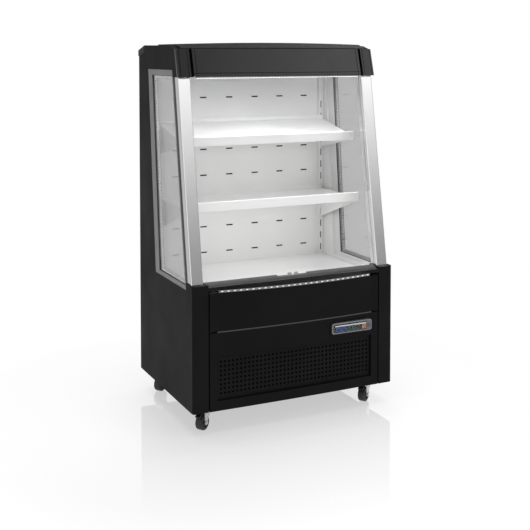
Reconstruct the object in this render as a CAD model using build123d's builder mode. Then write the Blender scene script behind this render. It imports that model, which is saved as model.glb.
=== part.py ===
"""Open multideck display fridge on four swivel casters.

Millimetres. The floor is z = 0, the open front faces -Y and the origin is the footprint's centre.
"""
from build123d import *
import os
from math import cos, radians, sin, tan

os.makedirs("parts", exist_ok=True)

# ---------------------------------------------------------------- cabinet
cabinet_width = 915.0
wall = 42.0                  # insulated side wall
fit = 0.2                    # play between pieces that are slid together
floor_gap = 90.0             # floor to the cabinet's underside
base_height = 504.0          # underside to the top of the corner posts
opening_height = 811.0       # corner post top to the canopy's underside
canopy_height = 115.0        # canopy front, from its underside to its top edge
front_reach = 312.0          # flat front face, ahead of the origin
rear_reach = 330.0           # outer rear face, behind the origin
sheet = 2.0                  # sheet metal of the front panels
overcut = 10.0               # how far a cut runs past the face that it opens

half_width = cabinet_width / 2
inner_half = half_width - wall
base_top = floor_gap + base_height
canopy_bottom = base_top + opening_height
canopy_top = canopy_bottom + canopy_height
front_y = -front_reach
rear_y = rear_reach

# ---------------------------------------------------------------- front of the base
corner_width = 66.5          # corner post, seen from the front
corner_wrap = 16.0           # corner post, ahead of the side panel
corner_depth = 50.0
corner_radius = 14.0
corner_wall = 2.5
groove_width = 5.0           # shadow gap between corner post and front panels
margin_width = 33.0          # flat margin of the front panels, outside the bowed field
panel_depth = 12.0           # front panels, from their flat margin to their back edge
bow_lip = 28.0               # bulge of the upper panel's top edge
bow_trim = 14.0              # bulge at the trim strip
bow_foot = 4.0               # bulge at the bottom edge
trim_rise = 313.0            # cabinet underside to the trim strip's lower edge
trim_height = 5.0
lip_height = 24.0            # lip rail, from its lower edge to its top
lip_slope = 9.0              # drop of the lip's light face
lip_land = 8.0               # flat top of the lip
lip_face = 32.0              # run of the lip's light face
lip_notch = 140.0            # notch over the blind catch
lip_notch_depth = 5.0
led_height = 9.0
led_depth = 7.0
led_end = 8.0                # end of the light strip, in from the bowed field
lip_proud = 1.0              # lip above the corner posts' top
lip_setback = 14.0           # lip's light face behind the flat front
post_socket = 1.0            # lap of the aluminium posts' socket in the corner post
catch_plate = 10.0           # depth of the blind catch's plate
catch_plate_back = 11.0      # its middle, ahead of the lip's rear edge
catch_back = 13.0            # middle of the catches, ahead of the lip's rear edge
catch_depth = 5.0
catch_corner = 2.0
catch_sheet = 1.5

corner_in = half_width - corner_width
panel_half = corner_in - groove_width
field_half = panel_half - margin_width
led_half = field_half - led_end
side_front_y = front_y + corner_wrap
panel_back_y = front_y + panel_depth
trim_bottom = floor_gap + trim_rise
trim_top = trim_bottom + trim_height
lip_bottom = base_top - lip_height + lip_proud
upper_panel_top = lip_bottom - led_height - 1.0

# grille and its recess
recess_foot = 40.0           # cabinet underside to the recess
recess_height = 178.0
grille_sheet = 2.0
grille_lap = 5.0             # grille behind the recess edge
hole_side = 9.0
hole_pitch_x = 17.66
hole_pitch_z = 18.0
hole_margin = 8.5            # from the side of the recess to the first hole
hole_rows = 8

recess_bottom = floor_gap + recess_foot
grille_z = recess_bottom + recess_height / 2
hole_columns = int(2 * (field_half - hole_margin) / hole_pitch_x)

# ---------------------------------------------------------------- deck, duct and shelves
deck_drop = 44.0             # deck below the corner posts' top
deck_sheet = 1.5
duct_y = 236.0               # front face of the rear duct panel
duct_sheet = 2.0
slot_length = 32.0
slot_height = 6.0
slot_margin = 21.6           # from the uprights to the outer half pitches of the slots
slot_pitch_z = 116.4
slot_columns = 6
slot_rows = 7
slot_first_drop = 101.0      # canopy underside to the first row of air slots
air_pitch = 36.0             # return air slots along the deck's front
air_web = 12.0               # metal between two of them
air_slot = 6.0
air_rows = 3
air_row_pitch = 16.0
air_first = 42.0             # first row behind the deck's front edge
air_margin = 55.0            # deck beside the slots, less than a pitch more
upright_width = 24.0
upright_depth = 14.0
upright_wall = 2.0
upright_inset = 13.5         # upright's middle, in from the side wall
hook_slot_height = 31.0
hook_slot_width = 5.0
hook_pitch = 56.3
hook_slots = 13
hook_first_drop = 128.0      # canopy underside to the top of the first hook slot

deck_top = base_top - deck_drop
upright_x = inner_half - upright_inset
upright_front_y = duct_y - upright_depth
slot_pitch_x = 2 * (upright_x - slot_margin) / slot_columns

shelf_sheet = 1.5
shelf_gap = 8.0              # shelf's rear edge ahead of the uprights
shelf_upstand = 16.0
shelf_lip = 40.0             # height of the folded front edge
shelf_lip_rise = 24.5        # part of it above the shelf's surface
shelf_lip_depth = 9.0
shelf_flange = 14.0
bracket_sheet = 3.0
bracket_height = 137.0       # at the upright
bracket_nose = 11.0          # at the front
bracket_short = 10.0         # front of the shelf ahead of the bracket
lower_shelf_z = 866.6
lower_shelf_depth = 344.0
upper_shelf_z = 1197.0       # rear edge of the tilted shelf's surface
upper_shelf_depth = 307.0
upper_shelf_tilt = 12.2      # degrees, front edge down
hook_reach = 10.0
hook_height = 12.0
hook_rise = 10.0             # top of the hook above the shelf's underside

# ---------------------------------------------------------------- windows and posts
sill_drop = 27.0             # window sill below the corner posts' top
head_rise = 29.0             # window head above the canopy's underside
window_rear_foot = 124.0     # rear edge of the window at the sill
window_rear_lean = 5.6       # degrees
frame_rear = 50.0
frame_head = 24.0
frame_sill = 18.0
frame_front = 8.0
frame_depth = 31.5
pane = 4.0
pane_gap = 14.0
pane_lap = 7.0
post_lean = 9.61             # degrees
post_inset = 31.0            # post foot behind the front face
post_depth = 46.0
post_width = 53.0
post_side_inset = 5.5        # post's outer face, in from the cabinet's side
post_wall = 2.5
post_radius = 5.0
guide_setback = 22.0         # blind guide's middle behind the post's front face
guide_width = 10.0
guide_depth = 6.0
guide_rise = 35.0            # guide above the canopy's underside

window_bottom = base_top - sill_drop
window_top = canopy_bottom + head_rise
post_foot_y = front_y + post_inset
post_out = half_width - post_side_inset
post_in = post_out - post_width
guide_top = canopy_bottom + guide_rise
lean_slope = tan(radians(post_lean))
rear_slope = tan(radians(window_rear_lean))

# ---------------------------------------------------------------- canopy and roof
fascia_lean = 32.0           # fascia's lower edge ahead of its top edge
fascia_top_y = -131.0
fascia_depth = 18.0
fascia_inset = 69.5          # fascia's end, in from the cabinet's side
fascia_wall = 2.5
fascia_strip = 14.0          # height of the strip under the fascia's shadow line
fascia_rib = 12.0            # rib at each end of the fascia
shadow_line = 2.0
cap_width = 57.5
cap_depth = 12.0
cap_radius = 8.0
roof_plate = 3.0
roof_rise = 13.0             # side panel's top above the fascia's top
roof_run = 66.0              # from the fascia to where the roof is level
roof_panel_edge = 6.0
roof_crown = 7.0
roof_panel_inset = 25.0      # lid's edge, in from the cabinet's side
roof_panel_rear = 147.0
ceiling_rise = 35.0          # ceiling above the canopy's underside
blind_slot_y = -88.0         # front edge of the ceiling
back_thickness = 68.0
cap_drop = 44.0              # rear cap, below the roof
cap_run = 74.0               # rear cap, ahead of the outer rear face
cap_overhang = 10.0
cap_slant = 17.0
cap_rise = 3.0
cap_corner_drop = 19.0
cap_shoulder = 10.0          # radius of the rear cap's shoulder
cap_lap = 3.0                # rear cap over the side panels' step
end_swell = 3.5              # end cap, deeper at its foot
end_step = 2.0               # step behind the end cap's top edge
end_line_in = 9.0            # end cap's grooves, from its inner and outer sides
end_line_out = 12.0
end_line_depth = 1.5
fascia_lift = 2.0            # fascia's lower edge above the canopy's underside
fascia_gap = 1.0             # fascia to the canopy tray
fascia_radius = 3.0
line_depth = 1.2             # depth of the fascia's shadow lines
line_reach = 4.0             # groove cutter, ahead of the face
tray_lip_rise = 3.4          # tray's front edge above the canopy's top
tray_lip = 30.0              # tray's front flange, below the canopy's top
bearing_side = 15.0          # roller cheek, around the roller's pin
vents = 5                    # air vents behind the ceiling
vent_web = 20.0
vent_depth = 14.0
vent_setback = 12.0
canopy_led_end = 10.0        # light strip's end, in from the fascia's
canopy_led_setback = 9.0     # strip's middle behind the fascia's foot
canopy_led_depth = 12.0
canopy_led_height = 6.0
canopy_led_drop = 1.0        # strip's middle below the canopy's underside
lid_gap = 0.3
lid_front_edge = 2.0         # roof lid's edge and crown at its front
lid_front_crown = 2.0
honeycomb_depth = 34.0
honeycomb_height = 12.0
honeycomb_cells = 24
honeycomb_web = 3.0
honeycomb_lap = 6.0          # air grid over the opening's edge

roof_z = canopy_top + roof_rise
fascia_half = half_width - fascia_inset
cap_in = half_width - cap_width
fascia_foot_y = fascia_top_y - fascia_lean
fascia_slope = fascia_lean / canopy_height
ceiling_z = canopy_bottom + ceiling_rise
back_inner_y = rear_y - back_thickness
cap_front_y = rear_y - cap_run
cap_foot_z = roof_z - cap_drop

# ---------------------------------------------------------------- night blind
bar_height = 18.0
bar_depth = 14.0
bar_rise = 14.0              # bar's middle above the canopy's underside
bar_tongue = 5.4             # bar's end inside the guide
handle_width = 70.0
handle_height = 13.0
handle_bar = 4.0
catch_pitch = 30.0
catch_width = 18.0
catch_height = 7.0
roll_radius = 24.0
roller_radius = 17.0
roller_pin = 5.0
cloth = 1.0
roll_rise = 76.0             # roll's middle above the canopy's underside
roller_cheek = 3.0
bar_end_play = 2.0           # bar to the aluminium post
bar_radius = 4.0
tongue_play = 0.6            # bar's end in the guide
tongue_trim = 4.0            # bar's end, lower than the bar
handle_lap = 1.0             # handle inside the bar
roll_end = 6.0               # cloth's edge, in from the aluminium post
roller_end_play = 4.0
roller_pin_end = 0.5

# ---------------------------------------------------------------- controller
controller_inset = 105.0     # controller's middle, in from the side of the bowed field
controller_rise = 269.0      # cabinet underside to the controller's middle
controller_width = 192.0
controller_height = 46.0
controller_depth = 12.0
controller_setout = 9.0      # controller's back rim ahead of the flat margin
controller_wall = 3.0
lens_depth = 5.0
button_radius = 5.0
button_inset = 18.0
button_proud = 2.0
button_play = 0.15
controller_radius = 10.0
controller_rim = 6.0         # frame round the clear cover
controller_side_lap = 16.0   # frame wider than the panel's opening
controller_edge_lap = 14.0   # frame taller than it
controller_seat = 0.5
controller_round = 2.0       # rounding of the frame's front edges
lens_setback = 2.0
lens_radius = 5.8
lens_round = 1.5
button_flange = 1.5
button_flange_sheet = 1.7
button_round = 1.0

# ---------------------------------------------------------------- casters
caster_inset = 40.5          # caster's king pin, in from the side wall
caster_front_y = -233.0
caster_rear_y = 267.0
caster_heading = 216.0       # degrees, direction in which the wheels trail
caster_trail = 22.0
caster_plate = 4.0
caster_plate_side = 70.0
wheel_radius = 31.0
wheel_width = 30.0
wheel_gap = 1.2
fork_sheet = 3.0
fork_front = 28.0
fork_rear = 20.0
fork_top = 79.5
fork_foot_radius = 10.0
race_radius = 23.0
race_gap = 0.3
king_pin = 5.0
king_pin_tail = 3.0
running = 0.06               # radial clearance of a running pin
axle_radius = 4.0
pedal_u = 14.0               # pedal pin, along the trail
pedal_z = 71.0
pedal_pin = 2.5
pedal_width = 22.0
axle_end = 2.0               # axle proud of the fork's cheeks
tread_radius = 4.0
hub_dish = 4.0
hub_rim = 8.0                # tread's edge round the dished hub

# ---------------------------------------------------------------- machine compartment
tub_floor = 30.0
tub_height = 156.0
tub_front = 30.0
tub_side = 12.0
tray_sheet = 3.0
tray_rim = 30.0
frame_tube = 30.0
tube_wall = 2.5
rail_height = 16.0           # cross rails between the frame's tubes
tray_gap = 0.5               # tray behind the corner posts
tub_gap = 3.5                # tub behind the tray's front
compressor_inset = 185.5
compressor_y = 60.0
compressor_radius = 75.0
compressor_height = 165.0
compressor_foot = 12.0
compressor_foot_radius = 14.0
compressor_foot_inset = 25.0
compressor_plate_proud = 17.0
compressor_plate_inset = 8.0
compressor_round = 20.0      # rounding of the pot's foot
condenser_inset = 295.5
condenser_width = 340.0
condenser_height = 220.0
condenser_depth = 42.0
condenser_y = -236.0         # condenser's middle
condenser_lift = 28.0
shroud_depth = 30.0
condenser_fan_radius = 96.0
fan_clearance = 6.0
motor_radius = 34.0
motor_length = 42.0
motor_shaft = 4.0
motor_bar = 14.0             # bars that carry the motor over the shroud's hole
motor_bar_lap = 6.0
motor_bar_depth = 4.0
shroud_sheet = 2.0
fin_slots = 26               # grooves between the coils' fins
fin_slot_depth = 14.0
condenser_fin_pitch = 12.0
condenser_fin_slot = 8.0
condenser_fin_edge = 8.0
evaporator_fin_pitch = 20.0
evaporator_fin_slot = 13.0
evaporator_fin_edge = 6.0
condenser_foot = 30.0
fan_hub_radius = 30.0
fan_depth = 18.0
fan_blades = 5
blade_pitch = 34.0           # degrees, at the hub
blade_twist = 14.0           # degrees less at the tip
blade_root = 2.0             # blade inside the hub
evaporator_margin = 135.5
evaporator_depth = 110.0
evaporator_height = 100.0
evaporator_y = 80.0
baffle_y = -20.0
evaporator_fan_radius = 50.0
evaporator_hub_radius = 16.0
evaporator_motor_radius = 20.0
evaporator_motor_length = 24.0
baffle_sheet = 2.0
baffle_arm = 60.0            # height of the arms from the coil to the baffle
drip_width = 220.0
drip_depth = 160.0
drip_height = 40.0
drip_inset = 205.5
drip_y = 180.0
drip_radius = 16.0
drip_wall = 3.0
drip_floor = 2.5
gland_inset = 85.5
gland_rise = 60.0
gland_radius = 11.0
gland_bore = 5.0
gland_length = 24.0
gland_inside = 6.0           # gland's body, inside the rear sheet
gland_nut = 5.0
gland_flange = 4.0
louvre_columns = 4
louvre_rows = 8
louvre_margin = 35.5
louvre_web = 40.0            # metal between two louvres of a row
louvre_height = 6.0
louvre_pitch_z = 24.0
louvre_rise = 20.0           # louvres' middle above the compartment's middle

controller_x = field_half - controller_inset
caster_x = inner_half - caster_inset
compressor_x = compressor_inset - inner_half
condenser_x = inner_half - condenser_inset
drip_x = inner_half - drip_inset
gland_x = inner_half - gland_inset
evaporator_width = 2 * (inner_half - evaporator_margin)
louvre_pitch_x = 2 * (inner_half - louvre_margin) / louvre_columns
louvre_length = louvre_pitch_x - louvre_web
tub_top = deck_top - deck_sheet
tub_bottom = tub_top - tub_height
tray_top = floor_gap + tray_sheet


def post_front(z):
    """Y of the aluminium posts' front face at a height."""
    return post_foot_y + (z - base_top) * lean_slope


def window_rear(z):
    """Y of the window's rear edge at a height."""
    return window_rear_foot + (z - window_bottom) * rear_slope


def window_corners(rear=0.0, head=0.0, sill=0.0, front=0.0):
    """Window outline in (y, z), drawn in from each edge by the given width."""
    low = window_bottom + sill
    high = window_top - head
    return [
        (window_rear(low) - rear, low),
        (window_rear(high) - rear, high),
        (post_front(high) + post_depth + front, high),
        (post_front(low) + post_depth + front, low),
    ]


def bowed_slab(z_low, bow_low, z_high, bow_high, half, field, front, back):
    """Solid between a bowed front surface and a flat back plane, with flat margins."""
    with BuildPart() as slab:
        for z, bow in ((z_low, bow_low), (z_high, bow_high)):
            with BuildSketch(Plane.XY.offset(z)):
                with BuildLine():
                    left = Line((-half, back), (-half, front))
                    left_margin = Line(left @ 1, (-field, front))
                    field_arc = ThreePointArc(left_margin @ 1, (0, front - bow), (field, front))
                    right_margin = Line(field_arc @ 1, (half, front))
                    right = Line(right_margin @ 1, (half, back))
                    Line(right @ 1, left @ 0)
                make_face()
        loft(ruled=True)
    return slab.part


def bowed_strip(z_low, z_high, half, proud, depth, bow):
    """Strip that follows the bowed front, with its front face proud of the panel's field."""
    arc_scale = 1 - (half / field_half) ** 2
    with BuildPart() as strip:
        with BuildSketch(Plane.XY.offset(z_low)):
            with BuildLine():
                outer = ThreePointArc(
                    (-half, front_y - proud - bow * arc_scale),
                    (0, front_y - proud - bow),
                    (half, front_y - proud - bow * arc_scale),
                )
                inner = ThreePointArc(
                    (-half, front_y - proud - bow * arc_scale + depth),
                    (0, front_y - proud - bow + depth),
                    (half, front_y - proud - bow * arc_scale + depth),
                )
                Line(outer @ 0, inner @ 0)
                Line(outer @ 1, inner @ 1)
            make_face()
        extrude(amount=z_high - z_low)
    return strip.part


def fan_blade(hub, tip, pitch, chord, thickness):
    """One fan blade along +X about the Z axis, twisted from hub to tip."""
    with BuildPart() as blade:
        for reach, turn, width in ((hub - blade_root, pitch, chord * 0.7), (tip, pitch - blade_twist, chord)):
            across = (0, cos(radians(turn)), sin(radians(turn)))
            plane = Plane(origin=(reach, 0, 0), x_dir=across, z_dir=(1, 0, 0))
            with BuildSketch(plane):
                Rectangle(width, thickness)
        loft(ruled=True)
    return blade.part


# ================================================================ base
with BuildPart() as base_frame:
    tray_front = front_y + corner_depth + tray_gap
    tray_depth = rear_y - tray_sheet - tray_front
    tray_y = tray_front + tray_depth / 2
    tray_width = 2 * (inner_half - fit)
    with BuildSketch(Plane.XY.offset(floor_gap)):
        with Locations((0, tray_y)):
            Rectangle(tray_width, tray_depth)
    extrude(amount=tray_rim)
    with BuildSketch(Plane.XY.offset(tray_top)):
        with Locations((0, tray_y)):
            Rectangle(tray_width - 2 * tray_sheet, tray_depth - 2 * tray_sheet)
    extrude(amount=tray_rim, mode=Mode.SUBTRACT)
    tube_x = panel_half + groove_width - frame_tube / 2
    tube_depth = tray_front + tube_wall - panel_back_y
    tube_y = panel_back_y + tube_depth / 2
    with BuildSketch(Plane.XY.offset(floor_gap)):
        with Locations((-tube_x, tube_y), (tube_x, tube_y)):
            Rectangle(frame_tube, tube_depth)
            Rectangle(frame_tube - 2 * tube_wall, tube_depth - 2 * tube_wall, mode=Mode.SUBTRACT)
    extrude(amount=upper_panel_top - floor_gap)
    rail_heights = (
        floor_gap + tray_rim / 2,
        trim_bottom + trim_height / 2,
        upper_panel_top - rail_height / 2,
    )
    for rail_z in rail_heights:
        with BuildSketch(Plane.YZ.offset(-tube_x + frame_tube / 2)):
            with Locations((tube_y + tube_depth / 4, rail_z)):
                Rectangle(tube_depth / 2, rail_height)
        extrude(amount=2 * tube_x - frame_tube)
    for cx in (-caster_x, caster_x):
        for cy in (caster_front_y, caster_rear_y):
            with BuildSketch(Plane.XY.offset(floor_gap)):
                with Locations((cx, cy)):
                    Rectangle(caster_plate_side, caster_plate_side)
                with Locations((cx, cy)):
                    Circle(king_pin / 4, mode=Mode.SUBTRACT)
            extrude(amount=-caster_plate)
            with BuildSketch(Plane.XY.offset(tray_top)):
                with Locations((cx, cy)):
                    Circle(king_pin)
            extrude(amount=-(tray_top - fork_top + fork_sheet + king_pin_tail))

# ================================================================ insulated walls
side_outline = [
    (side_front_y, floor_gap),
    (rear_y, floor_gap),
    (rear_y, cap_foot_z),
    (cap_front_y + cap_lap, cap_foot_z + cap_slant),
    (cap_front_y + cap_lap, roof_z),
    (fascia_top_y + roof_run, roof_z),
    (fascia_top_y + cap_depth, canopy_top - end_step),
    (fascia_foot_y + cap_depth + end_swell, canopy_bottom),
    (post_front(canopy_bottom) + post_depth, canopy_bottom),
    (post_front(window_top) + post_depth, window_top),
    (window_rear(window_top), window_top),
    (window_rear(window_bottom), window_bottom),
    (post_front(window_bottom) + post_depth, window_bottom),
    (post_front(base_top) + post_depth, base_top),
    (side_front_y, base_top),
]

with BuildPart() as side_panel_right:
    with BuildSketch(Plane.YZ.offset(inner_half)):
        Polygon(*side_outline, align=None)
    extrude(amount=wall)
side_panel_left = mirror(side_panel_right.part, about=Plane.YZ)

with BuildPart() as back_panel:
    with BuildSketch(Plane.YZ.offset(-inner_half + fit)):
        Polygon(
            (back_inner_y, tub_bottom),
            (rear_y - tray_sheet, tub_bottom),
            (rear_y - tray_sheet, floor_gap),
            (rear_y, floor_gap),
            (rear_y, cap_foot_z),
            (back_inner_y, cap_foot_z),
            align=None,
        )
    extrude(amount=2 * (inner_half - fit))
    louvre_z = (floor_gap + tub_bottom) / 2 + louvre_rise
    with BuildSketch(Plane.XZ.offset(-rear_y)):
        with Locations((0, louvre_z)):
            with GridLocations(louvre_pitch_x, louvre_pitch_z, louvre_columns, louvre_rows):
                Rectangle(louvre_length, louvre_height)
    extrude(amount=tray_sheet, mode=Mode.SUBTRACT)
    with BuildSketch(Plane.XZ.offset(-rear_y)):
        with Locations((gland_x, floor_gap + gland_rise)):
            Circle(gland_radius)
    extrude(amount=tray_sheet, mode=Mode.SUBTRACT)

with BuildPart() as cable_gland:
    with BuildSketch(Plane.XZ.offset(-rear_y + tray_sheet + gland_inside)):
        with Locations((gland_x, floor_gap + gland_rise)):
            Circle(gland_radius)
    extrude(amount=-gland_length + gland_inside)
    with BuildSketch(Plane.XZ.offset(-rear_y)):
        with Locations((gland_x, floor_gap + gland_rise)):
            RegularPolygon(gland_radius + gland_nut, 6)
    extrude(amount=-gland_nut)
    with BuildSketch(Plane.XZ.offset(-rear_y + tray_sheet)):
        with Locations((gland_x, floor_gap + gland_rise)):
            Circle(gland_radius + gland_flange)
    extrude(amount=gland_flange)
    with BuildSketch(Plane.XZ.offset(-rear_y + tray_sheet + overcut)):
        with Locations((gland_x, floor_gap + gland_rise)):
            Circle(gland_bore)
    extrude(amount=-gland_length - overcut, mode=Mode.SUBTRACT)

with BuildPart() as evaporator_tub:
    tub_front_y = tray_front + tub_gap
    tub_depth = back_inner_y - tub_front_y
    with BuildSketch(Plane.XY.offset(tub_bottom)):
        with Locations((0, tub_front_y + tub_depth / 2)):
            Rectangle(2 * (inner_half - fit), tub_depth)
    extrude(amount=tub_height)
    with BuildSketch(Plane.XY.offset(tub_bottom + tub_floor)):
        with Locations((0, tub_front_y + tub_front + tub_depth / 2)):
            Rectangle(2 * (inner_half - fit - tub_side), tub_depth)
    extrude(amount=tub_height, mode=Mode.SUBTRACT)

# ================================================================ front of the base
with BuildPart() as corner_post_right:
    corner_edge = (half_width, front_y, floor_gap)
    corner_points = [
        (corner_in, front_y),
        (half_width, front_y),
        (half_width, side_front_y),
        (inner_half - fit, side_front_y),
        (inner_half - fit, front_y + corner_depth),
        (corner_in, front_y + corner_depth),
    ]
    with BuildSketch(Plane.XY.offset(floor_gap)) as corner_section:
        Polygon(*corner_points, align=None)
        fillet(corner_section.vertices().sort_by_distance(corner_edge)[0], corner_radius)
    extrude(amount=base_height)
    with BuildSketch(Plane.XY.offset(floor_gap)) as corner_core:
        Polygon(*corner_points, align=None)
        fillet(corner_core.vertices().sort_by_distance(corner_edge)[0], corner_radius)
        offset(amount=-corner_wall, mode=Mode.REPLACE)
    extrude(amount=base_height - 2 * corner_wall, mode=Mode.SUBTRACT)
    with BuildSketch(Plane.XY.offset(tub_top)):
        Polygon(
            (corner_in, front_y + corner_depth - post_socket),
            (inner_half - fit, front_y + corner_depth - post_socket),
            (inner_half - fit, post_foot_y + post_depth),
            (corner_in, post_foot_y + post_depth),
            align=None,
        )
    extrude(amount=base_top - tub_top)
corner_post_left = mirror(corner_post_right.part, about=Plane.YZ)

upper_outer = bowed_slab(
    trim_top, bow_trim, upper_panel_top, bow_lip, panel_half, field_half, front_y, panel_back_y
)
upper_core = bowed_slab(
    trim_top + sheet, bow_trim, upper_panel_top - sheet, bow_lip, panel_half - sheet,
    field_half, front_y + sheet, panel_back_y + 1.0,
)
with BuildPart() as front_upper_panel:
    add(upper_outer)
    add(upper_core, mode=Mode.SUBTRACT)

lower_outer = bowed_slab(
    floor_gap, bow_foot, trim_bottom, bow_trim, panel_half, field_half, front_y, panel_back_y
)
lower_core = bowed_slab(
    floor_gap + sheet, bow_foot, trim_bottom - sheet, bow_trim, panel_half - sheet,
    field_half, front_y + sheet, panel_back_y + 1.0,
)
with BuildPart() as front_lower_panel:
    add(lower_outer)
    add(lower_core, mode=Mode.SUBTRACT)
    ring_back_y = panel_back_y - grille_sheet
    ring_plane = Plane.XZ.offset(-ring_back_y)
    with BuildSketch(ring_plane):
        with Locations((0, grille_z)):
            Rectangle(2 * (field_half + sheet), recess_height + 2 * sheet)
    extrude(amount=ring_back_y - front_y - sheet / 2)
    with BuildSketch(Plane.XZ.offset(-panel_back_y)):
        with Locations((0, grille_z)):
            Rectangle(2 * field_half, recess_height)
    extrude(amount=panel_depth + bow_trim + overcut, mode=Mode.SUBTRACT)
    with BuildSketch(Plane.XZ.offset(-panel_back_y)):
        with Locations((controller_x, floor_gap + controller_rise)):
            Rectangle(controller_width - controller_side_lap, controller_height - controller_edge_lap)
    extrude(amount=panel_depth + bow_trim + overcut, mode=Mode.SUBTRACT)

with BuildPart() as vent_grille:
    with BuildSketch(Plane.XZ.offset(-panel_back_y)):
        with Locations((0, grille_z)):
            Rectangle(2 * (field_half + grille_lap), recess_height + 2 * grille_lap)
    extrude(amount=grille_sheet)
    with BuildSketch(Plane.XZ.offset(-panel_back_y)):
        with Locations((0, grille_z)):
            with GridLocations(hole_pitch_x, hole_pitch_z, hole_columns, hole_rows):
                Rectangle(hole_side, hole_side)
    extrude(amount=grille_sheet, mode=Mode.SUBTRACT)

trim_solid = bowed_strip(trim_bottom, trim_top, field_half, 1.0, 8.0, bow_trim)
with BuildPart() as trim_strip:
    add(trim_solid)

lip_skirt = bowed_slab(
    lip_bottom, bow_lip, base_top - lip_slope, 0.5, corner_in - fit, field_half,
    front_y + 1.0, post_foot_y + post_inset / 2,
)
with BuildPart() as lip_rail:
    lip_front = front_y + lip_setback
    lip_back = lip_front + lip_face + lip_land
    add(lip_skirt)
    with BuildSketch(Plane.YZ.offset(-corner_in + fit)):
        Polygon(
            (lip_front, base_top - lip_slope),
            (lip_front + lip_face, base_top + lip_proud),
            (lip_back, base_top + lip_proud),
            (lip_back, lip_bottom),
            (lip_front, lip_bottom),
            align=None,
        )
    extrude(amount=2 * (corner_in - fit))
    with BuildSketch(Plane.XZ.offset(-lip_back)):
        with Locations((0, base_top + lip_proud)):
            Rectangle(lip_notch, 2 * lip_notch_depth)
    extrude(amount=lip_land + lip_face / 2, mode=Mode.SUBTRACT)

led_lip_solid = bowed_strip(upper_panel_top + 0.3, lip_bottom - 0.3, led_half, -2.0, led_depth, bow_lip)
with BuildPart() as led_strip_lip:
    add(led_lip_solid)

with BuildPart() as blind_catch:
    catch_z = base_top + lip_proud - lip_notch_depth
    with BuildSketch(Plane.XY.offset(catch_z)):
        with Locations((0, lip_back - catch_plate_back)):
            Rectangle(catch_pitch + catch_width, catch_plate)
    extrude(amount=catch_sheet)
    with BuildSketch(Plane.XY.offset(catch_z)):
        with Locations((0, lip_back - catch_back)):
            with GridLocations(catch_pitch, 1.0, 2, 1):
                RectangleRounded(catch_width, catch_depth, catch_corner)
    extrude(amount=catch_height + lip_notch_depth)

# ================================================================ deck, duct panel, uprights
with BuildPart() as deck_panel:
    deck_front_y = lip_back
    air_slots = int(2 * (inner_half - air_margin) / air_pitch)
    with BuildSketch(Plane.XY.offset(tub_top)):
        with Locations((0, (deck_front_y + duct_y) / 2)):
            Rectangle(2 * (inner_half - fit), duct_y - deck_front_y)
    extrude(amount=deck_sheet)
    with BuildSketch(Plane.XY.offset(tub_top)):
        with Locations((0, deck_front_y + air_first + (air_rows - 1) * air_row_pitch / 2)):
            with GridLocations(air_pitch, air_row_pitch, air_slots, air_rows):
                Rectangle(air_pitch - air_web, air_slot)
        for side in (-1, 1):
            with Locations((side * (corner_in + inner_half) / 2, post_foot_y + post_depth / 2)):
                Rectangle(inner_half - corner_in + 2 * fit, post_depth + 2 * fit)
            with Locations((side * upright_x, duct_y - upright_depth / 2)):
                Rectangle(upright_width + 2 * fit, upright_depth + 2 * fit)
    extrude(amount=deck_sheet, mode=Mode.SUBTRACT)

with BuildPart() as duct_panel:
    with BuildSketch(Plane.XZ.offset(-duct_y)):
        with Locations((0, (tub_top + ceiling_z) / 2)):
            Rectangle(2 * (inner_half - fit), ceiling_z - tub_top)
    extrude(amount=-duct_sheet)
    slot_mid = canopy_bottom - slot_first_drop - (slot_rows - 1) * slot_pitch_z / 2
    with BuildSketch(Plane.XZ.offset(-duct_y)):
        with Locations((0, slot_mid)):
            with GridLocations(slot_pitch_x, slot_pitch_z, slot_columns, slot_rows):
                Rectangle(slot_length, slot_height)
    extrude(amount=-duct_sheet, mode=Mode.SUBTRACT)

with BuildPart() as shelf_upright_right:
    with BuildSketch(Plane.XY.offset(tub_top)):
        with Locations((upright_x, upright_front_y + upright_depth / 2)):
            Rectangle(upright_width, upright_depth)
        with Locations((upright_x, upright_front_y + upright_depth / 2 + upright_wall)):
            Rectangle(upright_width - 2 * upright_wall, upright_depth, mode=Mode.SUBTRACT)
    extrude(amount=ceiling_z - tub_top)
    hook_mid = canopy_bottom - hook_first_drop - hook_slot_height / 2 - (hook_slots - 1) * hook_pitch / 2
    with BuildSketch(Plane.XZ.offset(-upright_front_y)):
        with Locations((upright_x, hook_mid)):
            with GridLocations(1.0, hook_pitch, 1, hook_slots):
                Rectangle(hook_slot_width, hook_slot_height)
    extrude(amount=-upright_wall, mode=Mode.SUBTRACT)
shelf_upright_left = mirror(shelf_upright_right.part, about=Plane.YZ)


# ================================================================ shelves and brackets
def make_shelf(surface_z, depth, tilt):
    """Folded sheet shelf: rear upstand, side flanges and a boxed front lip."""
    rear = Plane(
        origin=(0, upright_front_y - shelf_gap, surface_z),
        x_dir=(0, -cos(radians(tilt)), -sin(radians(tilt))),
        z_dir=(-1, 0, 0),
    )
    shelf_half = upright_x - bracket_sheet / 2
    with BuildPart() as shelf:
        with BuildSketch(rear.offset(-shelf_half)):
            Polygon(
                (0, shelf_upstand),
                (0, -shelf_sheet),
                (depth, -shelf_sheet),
                (depth, 0),
                (shelf_sheet, 0),
                (shelf_sheet, shelf_upstand),
                align=None,
            )
        extrude(amount=2 * shelf_half)
        with BuildSketch(rear.offset(-shelf_half + bracket_sheet)):
            with Locations((depth - shelf_lip_depth / 2, shelf_lip_rise - shelf_lip / 2)):
                RectangleRounded(shelf_lip_depth, shelf_lip, 3.0)
        extrude(amount=2 * (shelf_half - bracket_sheet))
        for side in (-shelf_half, shelf_half - shelf_sheet):
            with BuildSketch(rear.offset(side)):
                with Locations(((depth - bracket_short) / 2 + 4.0, -shelf_flange / 2)):
                    Rectangle(depth - bracket_short - 8.0, shelf_flange)
            extrude(amount=shelf_sheet)
    return shelf.part


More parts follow.
